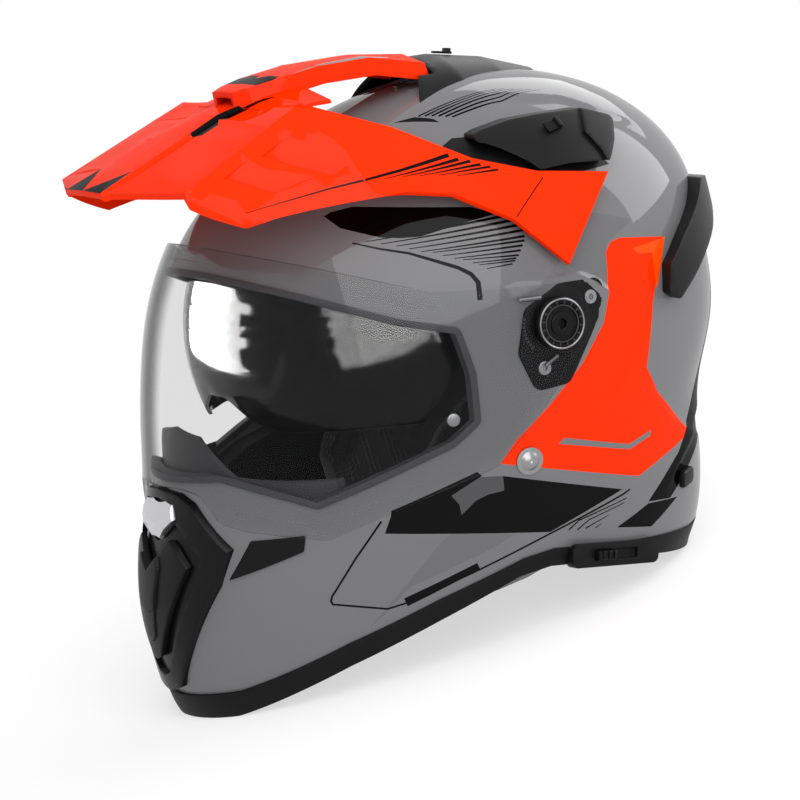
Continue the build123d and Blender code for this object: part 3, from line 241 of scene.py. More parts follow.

# %% [markdown]
# ## Cloth and webbing
# The cheek pads are covered in a knitted polyester mesh with holes about 3 mm apart, and the rest of
# the lining in a finer brushed knit. The strap is flat woven nylon webbing. All get their relief from a
# pattern of cells of real size, whose sunk middles are darkened as painted shade, and a sheen for the fibre
# ends that catch the light.

# %% Cloth and webbing
def cloth(name, hex_colour, pitch_mm, depth_mm):
    """Cloth with holes at a pitch, each sunk by a depth and darkened in its middle with painted shade."""
    material, tree, shader = new_material(name, roughness=0.9, sheen_weight=0.25)
    place = add_node(tree, "ShaderNodeTexCoord")
    cells = add_node(tree, "ShaderNodeTexVoronoi", {"Vector": place.outputs["Object"],
                                                    "Scale": 1 / (pitch_mm * MM), "Randomness": 0.25})
    holes = add_node(tree, "ShaderNodeMapRange", {"Value": cells.outputs["Distance"], "From Min": 0.1,
                                                  "From Max": 0.45})
    base = linear(hex_colour)
    # the middles of the cells are darkened to a third of the cloth's colour: painted shade where the holes
    # and the weave sink
    mix = add_node(tree, "ShaderNodeMixRGB", {"Fac": holes.outputs["Result"],
                                              "Color1": [c * 0.35 for c in base[:3]] + [1], "Color2": base})
    bump = add_node(tree, "ShaderNodeBump", {"Height": holes.outputs["Result"], "Distance": depth_mm * MM})
    tree.links.new(mix.outputs["Color"], shader.inputs["Base Color"])
    tree.links.new(bump.outputs["Normal"], shader.inputs["Normal"])
    return material


mesh_knit = cloth("mesh_knit", "#1E1E20", 3.2, 0.6)
brushed_knit = cloth("brushed_knit", "#202022", 0.9, 0.2)
nylon_webbing = cloth("nylon_webbing", "#1C1C1D", 1.4, 0.4)

# %% [markdown]
# ## The form of the shell
# A helmet shell is drawn as level sections, each an oval that is fuller at the rear than at the chin. The
# table below gives one row a level. Smooth curves through the rows give the section at any height, so a
# ball whose rings are pulled to their sections becomes the shell's outer form, or the visor's, which is
# the same form a few millimetres further out.

# %% Sections of the form
LENGTH, WIDTH, HEIGHT = 362.0, 248.0, 287.0
# where the middle of the length lies that an inset shrinks towards, as a share of the length
INSET_CENTRE = -0.077
# height, front, rear, widest place, half width, fullness of the front and of the rear
LEVELS = np.array([
    (-0.020, 0.575, 0.260, 0.011, 0.730, 2.00, 2.30), (0.066, 0.591, 0.293, 0.014, 0.830, 2.00, 2.30),
    (0.167, 0.588, 0.312, 0.014, 0.895, 2.00, 2.30), (0.250, 0.575, 0.318, 0.019, 0.935, 2.00, 2.30),
    (0.335, 0.550, 0.350, 0.028, 0.968, 2.00, 2.25), (0.418, 0.522, 0.392, 0.036, 0.992, 2.00, 2.20),
    (0.505, 0.500, 0.414, 0.039, 1.000, 2.05, 2.15), (0.606, 0.472, 0.423, 0.041, 1.000, 2.10, 2.10),
    (0.707, 0.436, 0.420, 0.044, 0.968, 2.15, 2.10), (0.790, 0.395, 0.392, 0.047, 0.895, 2.15, 2.10),
    (0.875, 0.329, 0.331, 0.047, 0.750, 2.10, 2.10), (0.940, 0.227, 0.243, 0.041, 0.540, 2.05, 2.05),
    (0.976, 0.138, 0.160, 0.036, 0.355, 2.00, 2.00), (0.993, 0.070, 0.090, 0.022, 0.180, 2.00, 2.00),
    (1.000, -0.011, 0.011, 0.011, 0.000, 2.00, 2.00),
])
STEPS = np.hypot(np.diff(LEVELS[:, 0]) * HEIGHT, np.diff(LEVELS[:, 4]) * WIDTH / 2)
ALONG = np.concatenate([[0], np.cumsum(STEPS)]) / STEPS.sum()


def smooth_curve(knots, values, wanted):
    """Natural cubic curve through the values at the knots."""
    gaps = np.diff(knots)
    count = len(knots)
    system = np.eye(count)
    rhs = np.zeros((count, values.shape[1]))
    for i in range(1, count - 1):
        system[i, i - 1:i + 2] = gaps[i - 1], 2 * (gaps[i - 1] + gaps[i]), gaps[i]
        rhs[i] = 3 * ((values[i + 1] - values[i]) / gaps[i] - (values[i] - values[i - 1]) / gaps[i - 1])
    curve = np.linalg.solve(system, rhs)
    i = np.clip(np.searchsorted(knots, wanted) - 1, 0, count - 2)
    step = (wanted - knots[i])[:, None]
    gap = gaps[i][:, None]
    slope = (values[i + 1] - values[i]) / gap - gap * (2 * curve[i] + curve[i + 1]) / 3
    return values[i] + step * (slope + step * (curve[i] + step * (curve[i + 1] - curve[i]) / (3 * gap)))


def form_points(along, angle, inset=0.0):
    """Points of the form, in millimetres: along runs 0 at the rim to 1 at the crown, angle 0 at the chin."""
    height, front, rear, widest, half, front_full, rear_full = smooth_curve(ALONG, LEVELS, along).T
    ahead, aside = np.cos(angle), np.sin(angle)
    full = np.where(ahead > 0, front_full, rear_full)
    end = np.where(ahead > 0, -front, rear)
    x = np.maximum(half, 0) * WIDTH / 2 * np.sign(aside) * np.abs(aside) ** (2 / full)
    y = (widest + (end - widest) * np.abs(ahead) ** (2 / full)) * LENGTH
    middle = INSET_CENTRE * LENGTH
    y = middle + (y - middle) * (1 - inset / (LENGTH / 2))
    return np.stack([x * (1 - inset / (WIDTH / 2)), y, height * HEIGHT * (1 - inset / HEIGHT)], axis=1)


def form_ball(name, inset, segments, rings):
    """A ball whose rings are pulled to the form's sections."""
    bpy.ops.object.select_all(action="DESELECT")
    bpy.ops.mesh.primitive_uv_sphere_add(segments=segments, ring_count=rings, radius=1)
    ball = bpy.context.object
    ball.name = ball.data.name = name
    unit = np.array([v.co for v in ball.data.vertices])
    along = 1 - np.arccos(np.clip(unit[:, 2], -1, 1)) / math.pi
    angle = np.arctan2(unit[:, 0], -unit[:, 1])
    points = form_points(along, angle, inset) * MM
    ball.data.vertices.foreach_set("co", points.ravel())
    ball.data.update()
    return ball


# %% [markdown]
# ## Cutting lines into a skin
# A painter masks the shell with tape along straight lines, and the moulder trims it along the eye port.
# Both are done the same way here: an outline is drawn in side view, and the skin is cut along each of its
# edges with a flat cut that only touches the faces near that edge. After that, faces inside the outline
# can be deleted, or given another lacquer.

# %% Outlines and cuts
SHORTEST_CUT = 1e-6


def rounded(points, radius, steps=5):
    """The outline with its corners rounded."""
    made = []
    for i, corner in enumerate(points):
        here, before, after = (Vector(p) for p in (corner, points[i - 1], points[(i + 1) % len(points)]))
        to_before, to_after = (before - here), (after - here)
        half = to_before.angle(to_after) / 2
        reach = min(radius / math.tan(half), to_before.length * 0.45, to_after.length * 0.45)
        first, last = here + to_before.normalized() * reach, here + to_after.normalized() * reach
        for k in range(steps + 1):
            t = k / steps
            made.append(tuple(first * (1 - t) ** 2 + here * 2 * t * (1 - t) + last * t * t))
    return made


def grown(points, amount):
    """The outline moved out by amount, or in where it is negative."""
    area = sum(a[0] * b[1] - b[0] * a[1] for a, b in zip(points, points[1:] + points[:1]))
    made = []
    for i, corner in enumerate(points):
        here, before, after = (Vector(p) for p in (corner, points[i - 1], points[(i + 1) % len(points)]))
        one, two = (here - before).normalized(), (after - here).normalized()
        side = 1 if area > 0 else -1
        normal = (Vector((one.y, -one.x)) + Vector((two.y, -two.x))).normalized() * side
        shrink = max(0.4, math.cos(one.angle(two) / 2))
        made.append(tuple(here + normal * amount / shrink))
    return made


def inside(points, a, b):
    """Whether each place (a, b) lies inside the outline."""
    hit = np.zeros(len(a), bool)
    for (x0, y0), (x1, y1) in zip(points, points[1:] + points[:1]):
        crosses = (y0 > b) != (y1 > b)
        with np.errstate(divide="ignore", invalid="ignore"):
            at = x0 + (b - y0) * (x1 - x0) / (y1 - y0)
        hit ^= crosses & (a < at)
    return hit


def cut_lines(skin, lines, plane="YZ", reach_mm=6.0, keep=None):
    """Cuts the skin along each line of view points, in millimetres, with cuts square to the view."""
    i, j = ("XYZ".index(c) for c in plane)
    k = 3 - i - j
    bm = bmesh.new()
    bm.from_mesh(skin.data)
    for points in lines:
        flat = np.array(points) * MM
        low, high = flat.min(0) - reach_mm * MM, flat.max(0) + reach_mm * MM
        near = {f for f in bm.faces if low[0] < f.calc_center_median()[i] < high[0]
                and low[1] < f.calc_center_median()[j] < high[1] and (keep is None or keep(f))}
        for start, end in zip(flat, flat[1:]):
            run = end - start
            length = float(np.hypot(*run))
            if length < SHORTEST_CUT:
                continue
            run = run / length
            touched = []
            for face in near:
                centre = face.calc_center_median()
                along = (centre[i] - start[0]) * run[0] + (centre[j] - start[1]) * run[1]
                off = (centre[j] - start[1]) * run[0] - (centre[i] - start[0]) * run[1]
                if -reach_mm * MM < along < length + reach_mm * MM and abs(off) < reach_mm * MM:
                    touched.append(face)
            if not touched:
                continue
            place, normal = Vector((0, 0, 0)), Vector((0, 0, 0))
            place[i], place[j] = start
            normal[i], normal[j] = -run[1], run[0]
            near.difference_update(touched)
            parts = set(touched)
            parts.update(e for f in touched for e in f.edges)
            parts.update(v for f in touched for v in f.verts)
            cut = bmesh.ops.bisect_plane(bm, geom=list(parts), dist=2e-5, plane_co=place, plane_no=normal)
            near.update(g for g in cut["geom"] if isinstance(g, bmesh.types.BMFace))
    bm.to_mesh(skin.data)
    bm.free()
    skin.data.update()


def closed(points):
    """The outline with its first point repeated, as a line."""
    return points + points[:1]


def face_places(skin):
    """Middle of each face, in millimetres."""
    centres = np.zeros(len(skin.data.polygons) * 3)
    skin.data.polygons.foreach_get("center", centres)
    return centres.reshape(-1, 3) / MM


def delete_faces(skin, doomed):
    """Takes the marked faces away, and the points that they leave loose."""
    bm = bmesh.new()
    bm.from_mesh(skin.data)
    bm.faces.ensure_lookup_table()
    bmesh.ops.delete(bm, geom=[bm.faces[i] for i in np.flatnonzero(doomed)], context="FACES")
    loose = [v for v in bm.verts if not v.link_faces]
    bmesh.ops.delete(bm, geom=loose, context="VERTS")
    bm.to_mesh(skin.data)
    bm.free()
    skin.data.update()


def finish_modifiers(piece):
    """Applies all modifiers of a piece in their order."""
    bpy.ops.object.select_all(action="DESELECT")
    bpy.context.view_layer.objects.active = piece
    piece.select_set(True)
    for modifier in list(piece.modifiers):
        bpy.ops.object.modifier_apply(modifier=modifier.name)


def smooth(piece, degrees=30):
    """Smooth shading, but for edges sharper than the angle."""
    bpy.ops.object.select_all(action="DESELECT")
    bpy.context.view_layer.objects.active = piece
    piece.select_set(True)
    bpy.ops.object.shade_smooth_by_angle(angle=math.radians(degrees))


# %% [markdown]
# ## The lacquered shell
# The skin starts as the ball. The eye port and the rim line are cut into it, and what lies outside is
# taken away. Then come the masked colour areas: an orange flank panel, black wedges and thin pin lines,
# each cut in as an outline and given its lacquer. Among them are a few slightly darker grey patches, which
# are painted shade where the gloss reflects less light, and one paler orange patch, which is a painted
# highlight. Crisp ridges frame the visor's side seat and the crown vents: points near a ridge line are
# lifted, sharply on one side and softly on the other. Last, the skin gets its 4 mm wall.

# %% Shell skin with its openings
PORT = rounded([(-235, 240), (-141, 231), (-115, 214), (-77, 189), (-50, 176), (-48, 150), (-52, 124),
                (-68, 116), (-98, 111), (-140, 104), (-158, 116), (-174, 127), (-235, 129)], 5)
RIM = [(-235, 14), (-194, 15), (-142, 28), (-93, 37), (-44, 43), (-26, 42), (35, 24), (72, 14), (100, 11),
       (175, 11)]

# points round a ring, and rings from the foot to the crown
BALL_DETAIL = (232, 150)
SHELL_WALL = 4

shell = form_ball("shell", 0.0, *BALL_DETAIL)
cut_lines(shell, [closed(PORT), RIM])
places = face_places(shell)
rim_height = np.interp(places[:, 1], [p[0] for p in RIM], [p[1] for p in RIM])
port_faces = inside(PORT, places[:, 1], places[:, 2])
delete_faces(shell, port_faces | (places[:, 2] < rim_height))
print("shell skin faces:", len(shell.data.polygons))

# %% Ridges and steps pressed into the skin
SEAT_RIDGE = [(-15, 188), (22, 181), (30, 174), (36, 166), (29, 153), (12, 136), (-13, 122), (-46, 97)]
CROWN_RIDGE = [(-12, 276), (36, 273), (67, 262), (88, 247), (112, 233)]
REAR_RIDGE = [(40, 118), (50, 102), (64, 81), (88, 62), (110, 48)]
FLANK_RIDGE = [(88, 172), (50, 133), (30, 113), (-2, 100)]
LEDGE = [(118, 84), (88, 74), (66, 60), (46, 42)]


# no ridge comes nearer than this to the middle of the helmet
RIDGE_FREE_MIDDLE = 12


def line_distance(points, y, z):
    """Signed distance to the line, and how far along it the nearest point lies, from 0 to 1."""
    best = np.full(len(y), 1e9)
    signed, share = np.zeros(len(y)), np.zeros(len(y))
    lengths = [math.dist(a, b) for a, b in zip(points, points[1:])]
    run = 0.0
    for (y0, z0), (y1, z1), length in zip(points, points[1:], lengths):
        dy, dz = (y1 - y0) / length, (z1 - z0) / length
        t = np.clip((y - y0) * dy + (z - z0) * dz, 0, length)
        off = np.hypot(y - y0 - t * dy, z - z0 - t * dz)
        closer = off < best
        best = np.where(closer, off, best)
        signed = np.where(closer, np.sign((z - z0) * dy - (y - y0) * dz) * off, signed)
        share = np.where(closer, (run + t) / sum(lengths), share)
        run += length
    return signed, share


def press_ridge(skin, points, height, sharp, soft, side, taper=0.12):
    """Lifts the skin by height along a line: over sharp millimetres on one side, over soft on the other."""
    co = np.array([v.co for v in skin.data.vertices]) / MM
    normals = np.array([v.normal for v in skin.data.vertices])
    distance, share = line_distance(points, co[:, 1], co[:, 2])
    distance = distance * side
    width = np.where(distance > 0, sharp, soft)
    fall = np.clip(1 - np.abs(distance) / width, 0, 1)
    fall = np.where(distance > 0, fall, fall * fall * (3 - 2 * fall))
    ends = np.clip(np.minimum(share, 1 - share) / taper, 0, 1)
    lift = height * fall * ends * (np.abs(co[:, 0]) > RIDGE_FREE_MIDDLE)
    co += normals * lift[:, None]
    skin.data.vertices.foreach_set("co", (co * MM).ravel())
    skin.data.update()


cut_lines(shell, [SEAT_RIDGE, CROWN_RIDGE, FLANK_RIDGE, LEDGE, REAR_RIDGE])
press_ridge(shell, SEAT_RIDGE, 2.0, 2.2, 34, 1)
press_ridge(shell, CROWN_RIDGE, 1.8, 3.0, 30, -1, 0.3)
press_ridge(shell, FLANK_RIDGE, 1.6, 26, 9, 1, 0.3)
press_ridge(shell, LEDGE, 1.5, 16, 5, -1, 0.3)
press_ridge(shell, REAR_RIDGE, 1.6, 3.0, 24, 1, 0.3)

# %% Masked colour areas
ORANGE_AREA = [(42, 186), (47, 190), (54, 190), (84, 180), (63, 150), (57, 137), (49, 119), (54, 103),
               (76, 70), (32, 62), (-47, 99), (-36, 109), (-14, 121), (10, 136), (28, 152), (36, 166),
               (40, 178)]
# a paler orange patch near the top of the panel: a painted highlight of a reflection
ORANGE_HIGHLIGHT_AREA = [(60, 182), (86, 179), (69, 156), (73, 175), (63, 178)]
BLACK_AREAS = [
    [(-113, 82), (-108, 90), (-76, 91), (-73, 85), (-73, 79), (-81, 71)],
    [(-81, 71), (-73, 79), (-64, 84), (-57, 85), (-48, 84), (-47, 92), (20, 59), (-27, 52)],
    [(-108, 90), (-107, 93), (-76, 97), (-60, 99), (-58, 96), (-76, 91)],
    [(-86, 246), (-82, 247), (-72, 247), (-20, 231), (-9, 224), (-29, 225), (-51, 225), (-60, 227),
     (-69, 230), (-83, 239)],
    [(36, 45), (64, 63), (92, 92), (118, 124), (134, 152), (143, 150), (138, 120), (122, 86), (89, 58),
     (53, 40)],
    [(13, 39), (36, 44), (59, 38), (36, 30)],
    [(-111, 44), (-70, 50), (-69, 46), (-110, 39)],
]
# points, width at the start, width at the end
PIN_LINES = [
    ([(-113, 89), (-130, 73), (-145, 56.5), (-146, 54), (-145.5, 52), (-143, 51), (-120, 41), (-111, 41),
      (-68, 46), (-28, 51), (20, 56), (25, 57)], 1.1, 1.1),
    ([(-82, 231), (-72, 225), (-60, 219), (-50, 212), (-40, 205), (-35, 200), (-33, 195), (-35, 186)], 0.7,
     3.0),
    ([(-16, 49), (-9, 52), (22, 53)], 1.0, 0.6), ([(-11, 47), (-3, 50), (20, 51)], 0.9, 0.5),
    ([(-6, 46), (9, 48)], 0.8, 0.4), ([(0, 44), (4, 45)], 0.7, 0.4),
]
STRIPE_STARTS = [(-76, 230), (-70, 227), (-64, 224), (-59, 221), (-54, 218), (-49, 216), (-45, 213),
                 (-40, 210), (-36, 208), (-32, 205), (-29, 203), (-26, 200)]
STRIPE_ENDS = [(1, 221), (1, 218), (1, 215), (1, 212), (0, 209), (-1, 207), (-3, 205), (-5, 203), (-7, 201),
               (-9, 200), (-10, 199), (-12, 198)]
# the stripes open from a hair to a width that gets less towards the foot
STRIPE_LINES = [([start, end], 0.4, 1.6 - 0.07 * k)
                for k, (start, end) in enumerate(zip(STRIPE_STARTS, STRIPE_ENDS))]
GREY_LINE = [(-13, 98), (-9, 100), (29, 82), (45, 84), (44, 81), (29, 79)]
# patches painted a little darker than the grey: painted shade where the glossy shell reflects less light
REFLECTION_SHADE_AREAS = [
    [(-133, 32), (-88, 67), (-81, 71), (-46, 58), (-61, 55), (-107, 49), (-118, 41)],
    [(30, 214), (66, 196), (44, 190), (36, 166), (22, 182), (8, 200)],
]
# the top vent's recessed floor is not cut in: the shell is painted black there, which stands for the black
# floor and also for the shade inside the recess
VENT_RECESS = [(-17, 260), (-6, 263), (8, 260), (14, 252), (22, 241), (26, 237), (40, 235), (65, 230),
               (67, 226), (40, 229), (20, 230), (0, 236), (-16, 248)]
DARK_AREAS = [[(-76, 91), (-60, 96), (-47, 92), (-48, 84), (-57, 85), (-64, 84), (-73, 79), (-73, 85)]]
# seen from above, on both sides of the crown
CROWN_SLIT = [(48, -23), (64, -4), (60, -5), (52, -12)]
CROWN_GROOVES = [([(53 + 2.2 * k, -10 + 2.8 * k), (54 + 2 * k, 14 + 4 * k), (55 + 1.2 * k, 38 + 4.6 * k)],
                  1.3, 0.3) for k in range(6)]
CUT_REACH = 6.0


def ribbon(points, start_width, end_width):
    """Closed outline of a line whose width runs from one value to the other."""
    left, right_side = [], []
    for i, here in enumerate(points):
        before, after = points[max(i - 1, 0)], points[min(i + 1, len(points) - 1)]
        run = Vector((after[0] - before[0], after[1] - before[1])).normalized()
        share = i / (len(points) - 1)
        half = (start_width * (1 - share) + end_width * share) / 2
        left.append((here[0] - run.y * half, here[1] + run.x * half))
        right_side.append((here[0] + run.y * half, here[1] - run.x * half))
    return left + right_side[::-1]


def paint_areas(skin, coats, plane="YZ", keep=None):
    """Cuts each outline into the skin and gives the faces inside it their coat, later coats over earlier."""
    i, j = ("XYZ".index(c) for c in plane)
    for outlines, _ in coats:
        cut_lines(skin, [closed(outline) for outline in outlines], plane, CUT_REACH, keep)
    centres = face_places(skin)
    normals = np.array([p.normal for p in skin.data.polygons])
    areas = np.array([p.material_index for p in skin.data.polygons])
    allowed = np.ones(len(areas), bool)
    if keep is not None:
        allowed = np.array([bool(keep(p)) for p in skin.data.polygons])
    for outlines, paint in coats:
        if paint.name not in skin.data.materials:
            skin.data.materials.append(paint)
        index = skin.data.materials.find(paint.name)
        for outline in outlines:
            areas[inside(outline, centres[:, i], centres[:, j]) & allowed] = index
    skin.data.polygons.foreach_set("material_index", areas.astype(np.int32))


lacquered = [
    (REFLECTION_SHADE_AREAS, mid_grey_lacquer), (DARK_AREAS, dark_grey_lacquer), ([ORANGE_AREA], orange_lacquer),
    ([ORANGE_HIGHLIGHT_AREA], pale_orange_lacquer), ([VENT_RECESS], black_abs), ([GREY_LINE], grey_lacquer),
    (BLACK_AREAS, black_lacquer), ([ribbon(*line) for line in PIN_LINES + STRIPE_LINES], black_lacquer),
]
shell.data.materials.append(grey_lacquer)
paint_areas(shell, lacquered)
crown = [CROWN_SLIT] + [ribbon(*line) for line in CROWN_GROOVES]
crown += [[(-x, y) for x, y in outline[::-1]] for outline in crown]
paint_areas(shell, [(crown, black_lacquer)], "XY", lambda face: face.normal.z > 0.5)

wall = shell.modifiers.new("wall", "SOLIDIFY")
wall.thickness, wall.offset = SHELL_WALL * MM, -1
finish_modifiers(shell)
smooth(shell, 28)
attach(shell, "helmet")
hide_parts("outer_shell")
print("shell faces:", len(shell.data.polygons))

# %% [markdown]
# ## Clear visor
# The visor is the same form 4 mm further out, cut to its outline, with a round hole at each ear. It is
# 2.2 mm thick, with a thicker lip along its foot and a low bead a little inside the whole edge, which leave
# lines where light runs.

# %% Clear visor
VISOR = rounded([(-145, 247), (-104, 224), (-61, 199), (-30, 190), (0, 183), (9, 181), (16, 176), (20, 169),
                 (21, 162), (20, 155), (15, 148), (8, 143), (-30, 113), (-50, 100), (-89, 96), (-141, 88),
                 (-172, 101), (-181, 107), (-183, 122), (-188, 126), (-235, 127), (-235, 250)], 5)
PIVOT_HEIGHT, EAR_RADIUS = 162, 9
EAR_HOLE = [(EAR_RADIUS * math.cos(a * math.pi / 12), PIVOT_HEIGHT + EAR_RADIUS * math.sin(a * math.pi / 12))
            for a in range(24)]
# the lip is moulded along the foot, and a bead that stops dust runs a little inside the whole edge
LIP = [(-181, 108), (-172, 101), (-141, 88), (-89, 96), (-50, 100), (-30, 113), (8, 143)]
LIP_STEPS = [grown(VISOR, -amount) for amount in (3.0, 3.8)]
BEAD_STEPS = [grown(VISOR, -amount) for amount in (7.0, 7.7, 8.4)]

VISOR_GAP, VISOR_WALL = 4.0, 2.2

visor = form_ball("visor", -VISOR_GAP, *BALL_DETAIL)
cut_lines(visor, [closed(VISOR), closed(EAR_HOLE)])
places = face_places(visor)
seen = inside(VISOR, places[:, 1], places[:, 2]) & ~inside(EAR_HOLE, places[:, 1], places[:, 2])
delete_faces(visor, ~seen)
cut_lines(visor, [closed(line) for line in LIP_STEPS + BEAD_STEPS])

# %% Visor wall, lip and moulded steps
inner_count = len(visor.data.vertices)
wall = visor.modifiers.new("wall", "SOLIDIFY")
wall.thickness, wall.offset = VISOR_WALL * MM, 1
finish_modifiers(visor)


# an egg that follows the sheet closely: its outward direction has no steps from face to face
VISOR_MIDDLE = np.array([0.0, -28.0, 140.0])
VISOR_RADII = np.array([124.0, 181.0, 145.0])


def lift_outer(skin, first, line, reach, height):
    """Lifts the outer side's points that lie within reach of a line: the sheet gets thicker there."""
    co = np.array([v.co for v in skin.data.vertices]) / MM
    outward = (co - VISOR_MIDDLE) / VISOR_RADII ** 2
    outward /= np.linalg.norm(outward, axis=1)[:, None]
    off, _ = line_distance(line, co[:, 1], co[:, 2])
    picked = np.abs(off) < reach
    picked[:first] = False
    co[picked] += outward[picked] * height
    skin.data.vertices.foreach_set("co", (co * MM).ravel())
    skin.data.update()
    print("lifted", int(picked.sum()), "points by", height, "mm")


lift_outer(visor, inner_count, LIP, 3.25, 1.1)
lift_outer(visor, inner_count, closed(BEAD_STEPS[1]), 0.15, 0.45)
edge = visor.modifiers.new("edge", "BEVEL")
edge.width, edge.segments, edge.limit_method, edge.angle_limit = 0.4 * MM, 2, "ANGLE", math.radians(60)
finish_modifiers(visor)
smooth(visor, 25)
visor.data.materials.append(clear_polycarbonate)
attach(visor, "visor")
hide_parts("clear_visor")
print("visor faces:", len(visor.data.polygons))

# %% [markdown]
# ## Pieces that keep their CAD form
# Moulded pieces with crisp arrises are taken from the CAD mesh as a copy. The copy is merged, its flat
# faces are joined again and a small bevel breaks each edge, because a moulded edge is never sharp and the
# eye reads its size from that thin highlight.

# %% Dressing a CAD piece
SAME_PLACE = 1e-5
FLAT_DEGREES = 0.4


def dressed(node, material, bevel_mm=0.4, angle=30, segments=2, before_bevel=None):
    """A merged and bevelled copy that stands for the CAD node."""
    source = nodes[node]
    mesh = source.data.copy()
    piece = bpy.data.objects.new(node + "_dressed", mesh)
    mesh.name = piece.name
    bpy.context.scene.collection.objects.link(piece)
    bm = bmesh.new()
    bm.from_mesh(mesh)
    bmesh.ops.remove_doubles(bm, verts=bm.verts, dist=SAME_PLACE)
    bmesh.ops.dissolve_limit(bm, angle_limit=math.radians(FLAT_DEGREES), verts=bm.verts, edges=bm.edges)
    bm.to_mesh(mesh)
    bm.free()
    mesh.materials.clear()
    mesh.materials.append(material)
    if before_bevel:
        before_bevel(piece)
    if bevel_mm:
        edge = piece.modifiers.new("edge", "BEVEL")
        edge.width, edge.segments, edge.limit_method = bevel_mm * MM, segments, "ANGLE"
        edge.angle_limit, edge.harden_normals = math.radians(angle), False
        finish_modifiers(piece)
    smooth(piece, angle)
    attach(piece, source["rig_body"])
    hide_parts(node)
    return piece


def coat(node, material):
    """Gives a CAD node that keeps its own mesh a better material."""
    mesh = nodes[node].data
    mesh.materials.clear()
    mesh.materials.append(material)


# %% [markdown]
# ## The peak
# The peak is one moulding in orange with black masked shapes: a chevron at the front of its band, a strip
# beside the band, and a thin line along each flank that ends in slanted strokes. The outlines are cut into
# the upper faces before the edges get their bevel, so the paint stays crisp.

# %% Peak with its masked shapes
CHEVRON = [(-24, -184), (24, -184), (21, -161), (0, -172.5), (-21, -161)]
STRIP = [(18.5, -125), (26, -121), (24, -90), (30, -75), (15, -88), (14.5, -100)]
BRIDGE_END = [(-21, -81), (-24, -66), (24, -66), (21, -81)]
BRIDGE_RIBBON = [(24, -66), (15, -31), (13, 2), (25, -12), (24.6, -45)]
BRIDGE_SEAM = ribbon([(-27, 4), (27, 4)], 0.7, 0.7)
FLANK_LINES = [
    ([(-137, 266), (-91, 264), (-51, 261), (-20, 259)], 0.3, 2.0), ([(-62, 260), (-16, 255.5)], 0.3, 1.7),
    ([(-53, 258), (-10, 252.5)], 0.3, 1.5), ([(-43, 255.5), (-6, 249.5)], 0.3, 1.4),
    ([(-33, 252.5), (-2, 247)], 0.3, 1.2), ([(-23, 249), (1, 244.5)], 0.3, 1.1),
]
FLANK_SEAM = ribbon([(21, 234), (-4, 221)], 0.6, 0.6)


def facing_up(face):
    """Whether a face of the peak looks up."""
    return face.normal.z > 0.35


def facing_aside(face):
    """Whether a face belongs to a flank of the peak: a bmesh face while cutting, a polygon while painting."""
    middle = face.calc_center_median() if isinstance(face, bmesh.types.BMFace) else face.center
    return abs(face.normal.x) > 0.3 and abs(middle.x) > 0.06


def mirrored_outlines(outlines):
    """The outlines of the left side and their mirror images."""
    return outlines + [[(-x, y) for x, y in outline[::-1]] for outline in outlines]


def painted_peak(piece):
    """Cuts the black and grey shapes into the peak's upper and side faces."""
    paint_areas(piece, [([CHEVRON, BRIDGE_END] + mirrored_outlines([STRIP]), black_lacquer),
                        (mirrored_outlines([BRIDGE_RIBBON]), grey_lacquer), ([BRIDGE_SEAM], black_lacquer)],
                "XY", facing_up)
    paint_areas(piece, [([ribbon(*line) for line in FLANK_LINES] + [FLANK_SEAM], black_lacquer)], "YZ",
                facing_aside)


peak = dressed("peak", orange_lacquer, 0.6, before_bevel=painted_peak)
print("peak faces:", len(peak.data.polygons), "coats:", len(peak.data.materials))

# %% Plastic, rubber and metal pieces in their CAD form
dressed("visor_lock_button", silver_paint, 0.5)
for side in ("left", "right"):
    dressed("side_vent_cover_" + side, black_abs, 0.5)
    dressed("side_vent_slider_" + side, black_abs, 0.3)
    dressed("rear_vent_" + side, black_abs, 0.6)
    dressed("chin_side_inlet_" + side, satin_black_abs, 0.4)
    dressed("visor_base_plate_" + side, black_abs, 0.3)
    dressed("visor_pivot_cap_" + side, satin_black_abs, 0.5)
for node, material, bevel_mm in (
        ("top_vent_cover", black_abs, 0.5), ("top_vent_slider", black_abs, 0.3),
        ("chin_vent_housing", satin_black_abs, 0.6), ("chin_vent_shutter", black_abs, 0.5),
        ("breath_deflector", grey_abs, 0.5), ("sun_visor_lever_housing", black_abs, 0.5),
        ("sun_visor_lever", black_abs, 0.4), ("lower_rim_trim", trim_rubber, 0.8),
        ("eyeport_gasket", port_rubber, 0.6), ("strap_rivets", zinc_steel, 0.3),
        ("rear_studs", black_abs, 0.5), ("base_plate_screws", zinc_steel, 0.2),
        ("pinlock_pins", zinc_steel, 0.3)):
    dressed(node, material, bevel_mm)
for node, material in (
        ("eps_liner", foam_beads), ("chin_bar_liner", foam_beads), ("sun_visor_pins", black_abs),
        ("peak_mounts", trim_rubber), ("strap_d_rings", zinc_steel)):
    coat(node, material)
sun_visor = dressed("sun_visor", smoke_polycarbonate, 0.5)
# the sawn edge of the tinted sheet is polished; the light grey on its downward faces is a painted highlight
# for the light that it leads out
polished_edge = moulded("polished_edge", "#A8A8AA", 0.18, 1.0, 0.004)
sun_visor.data.materials.append(polished_edge)
# the downward faces low on the sheet take the painted highlight
LOOKS_DOWN, EDGE_BELOW = -0.55, 160
for face in sun_visor.data.polygons:
    if face.normal.z < LOOKS_DOWN and face.center.z < EDGE_BELOW * MM:
        face.material_index = 1

# %% [markdown]
# ## Small parts of the visor's hinge
# The turned cap has a bright ring, a thinner one inside it and a ring of short ticks. Under the clear ear lie
# a row of detent teeth and two small coil springs. Each is one simple form that
# is modelled once and then copied round, and all of them stand on the plane of the cap or of the plate.

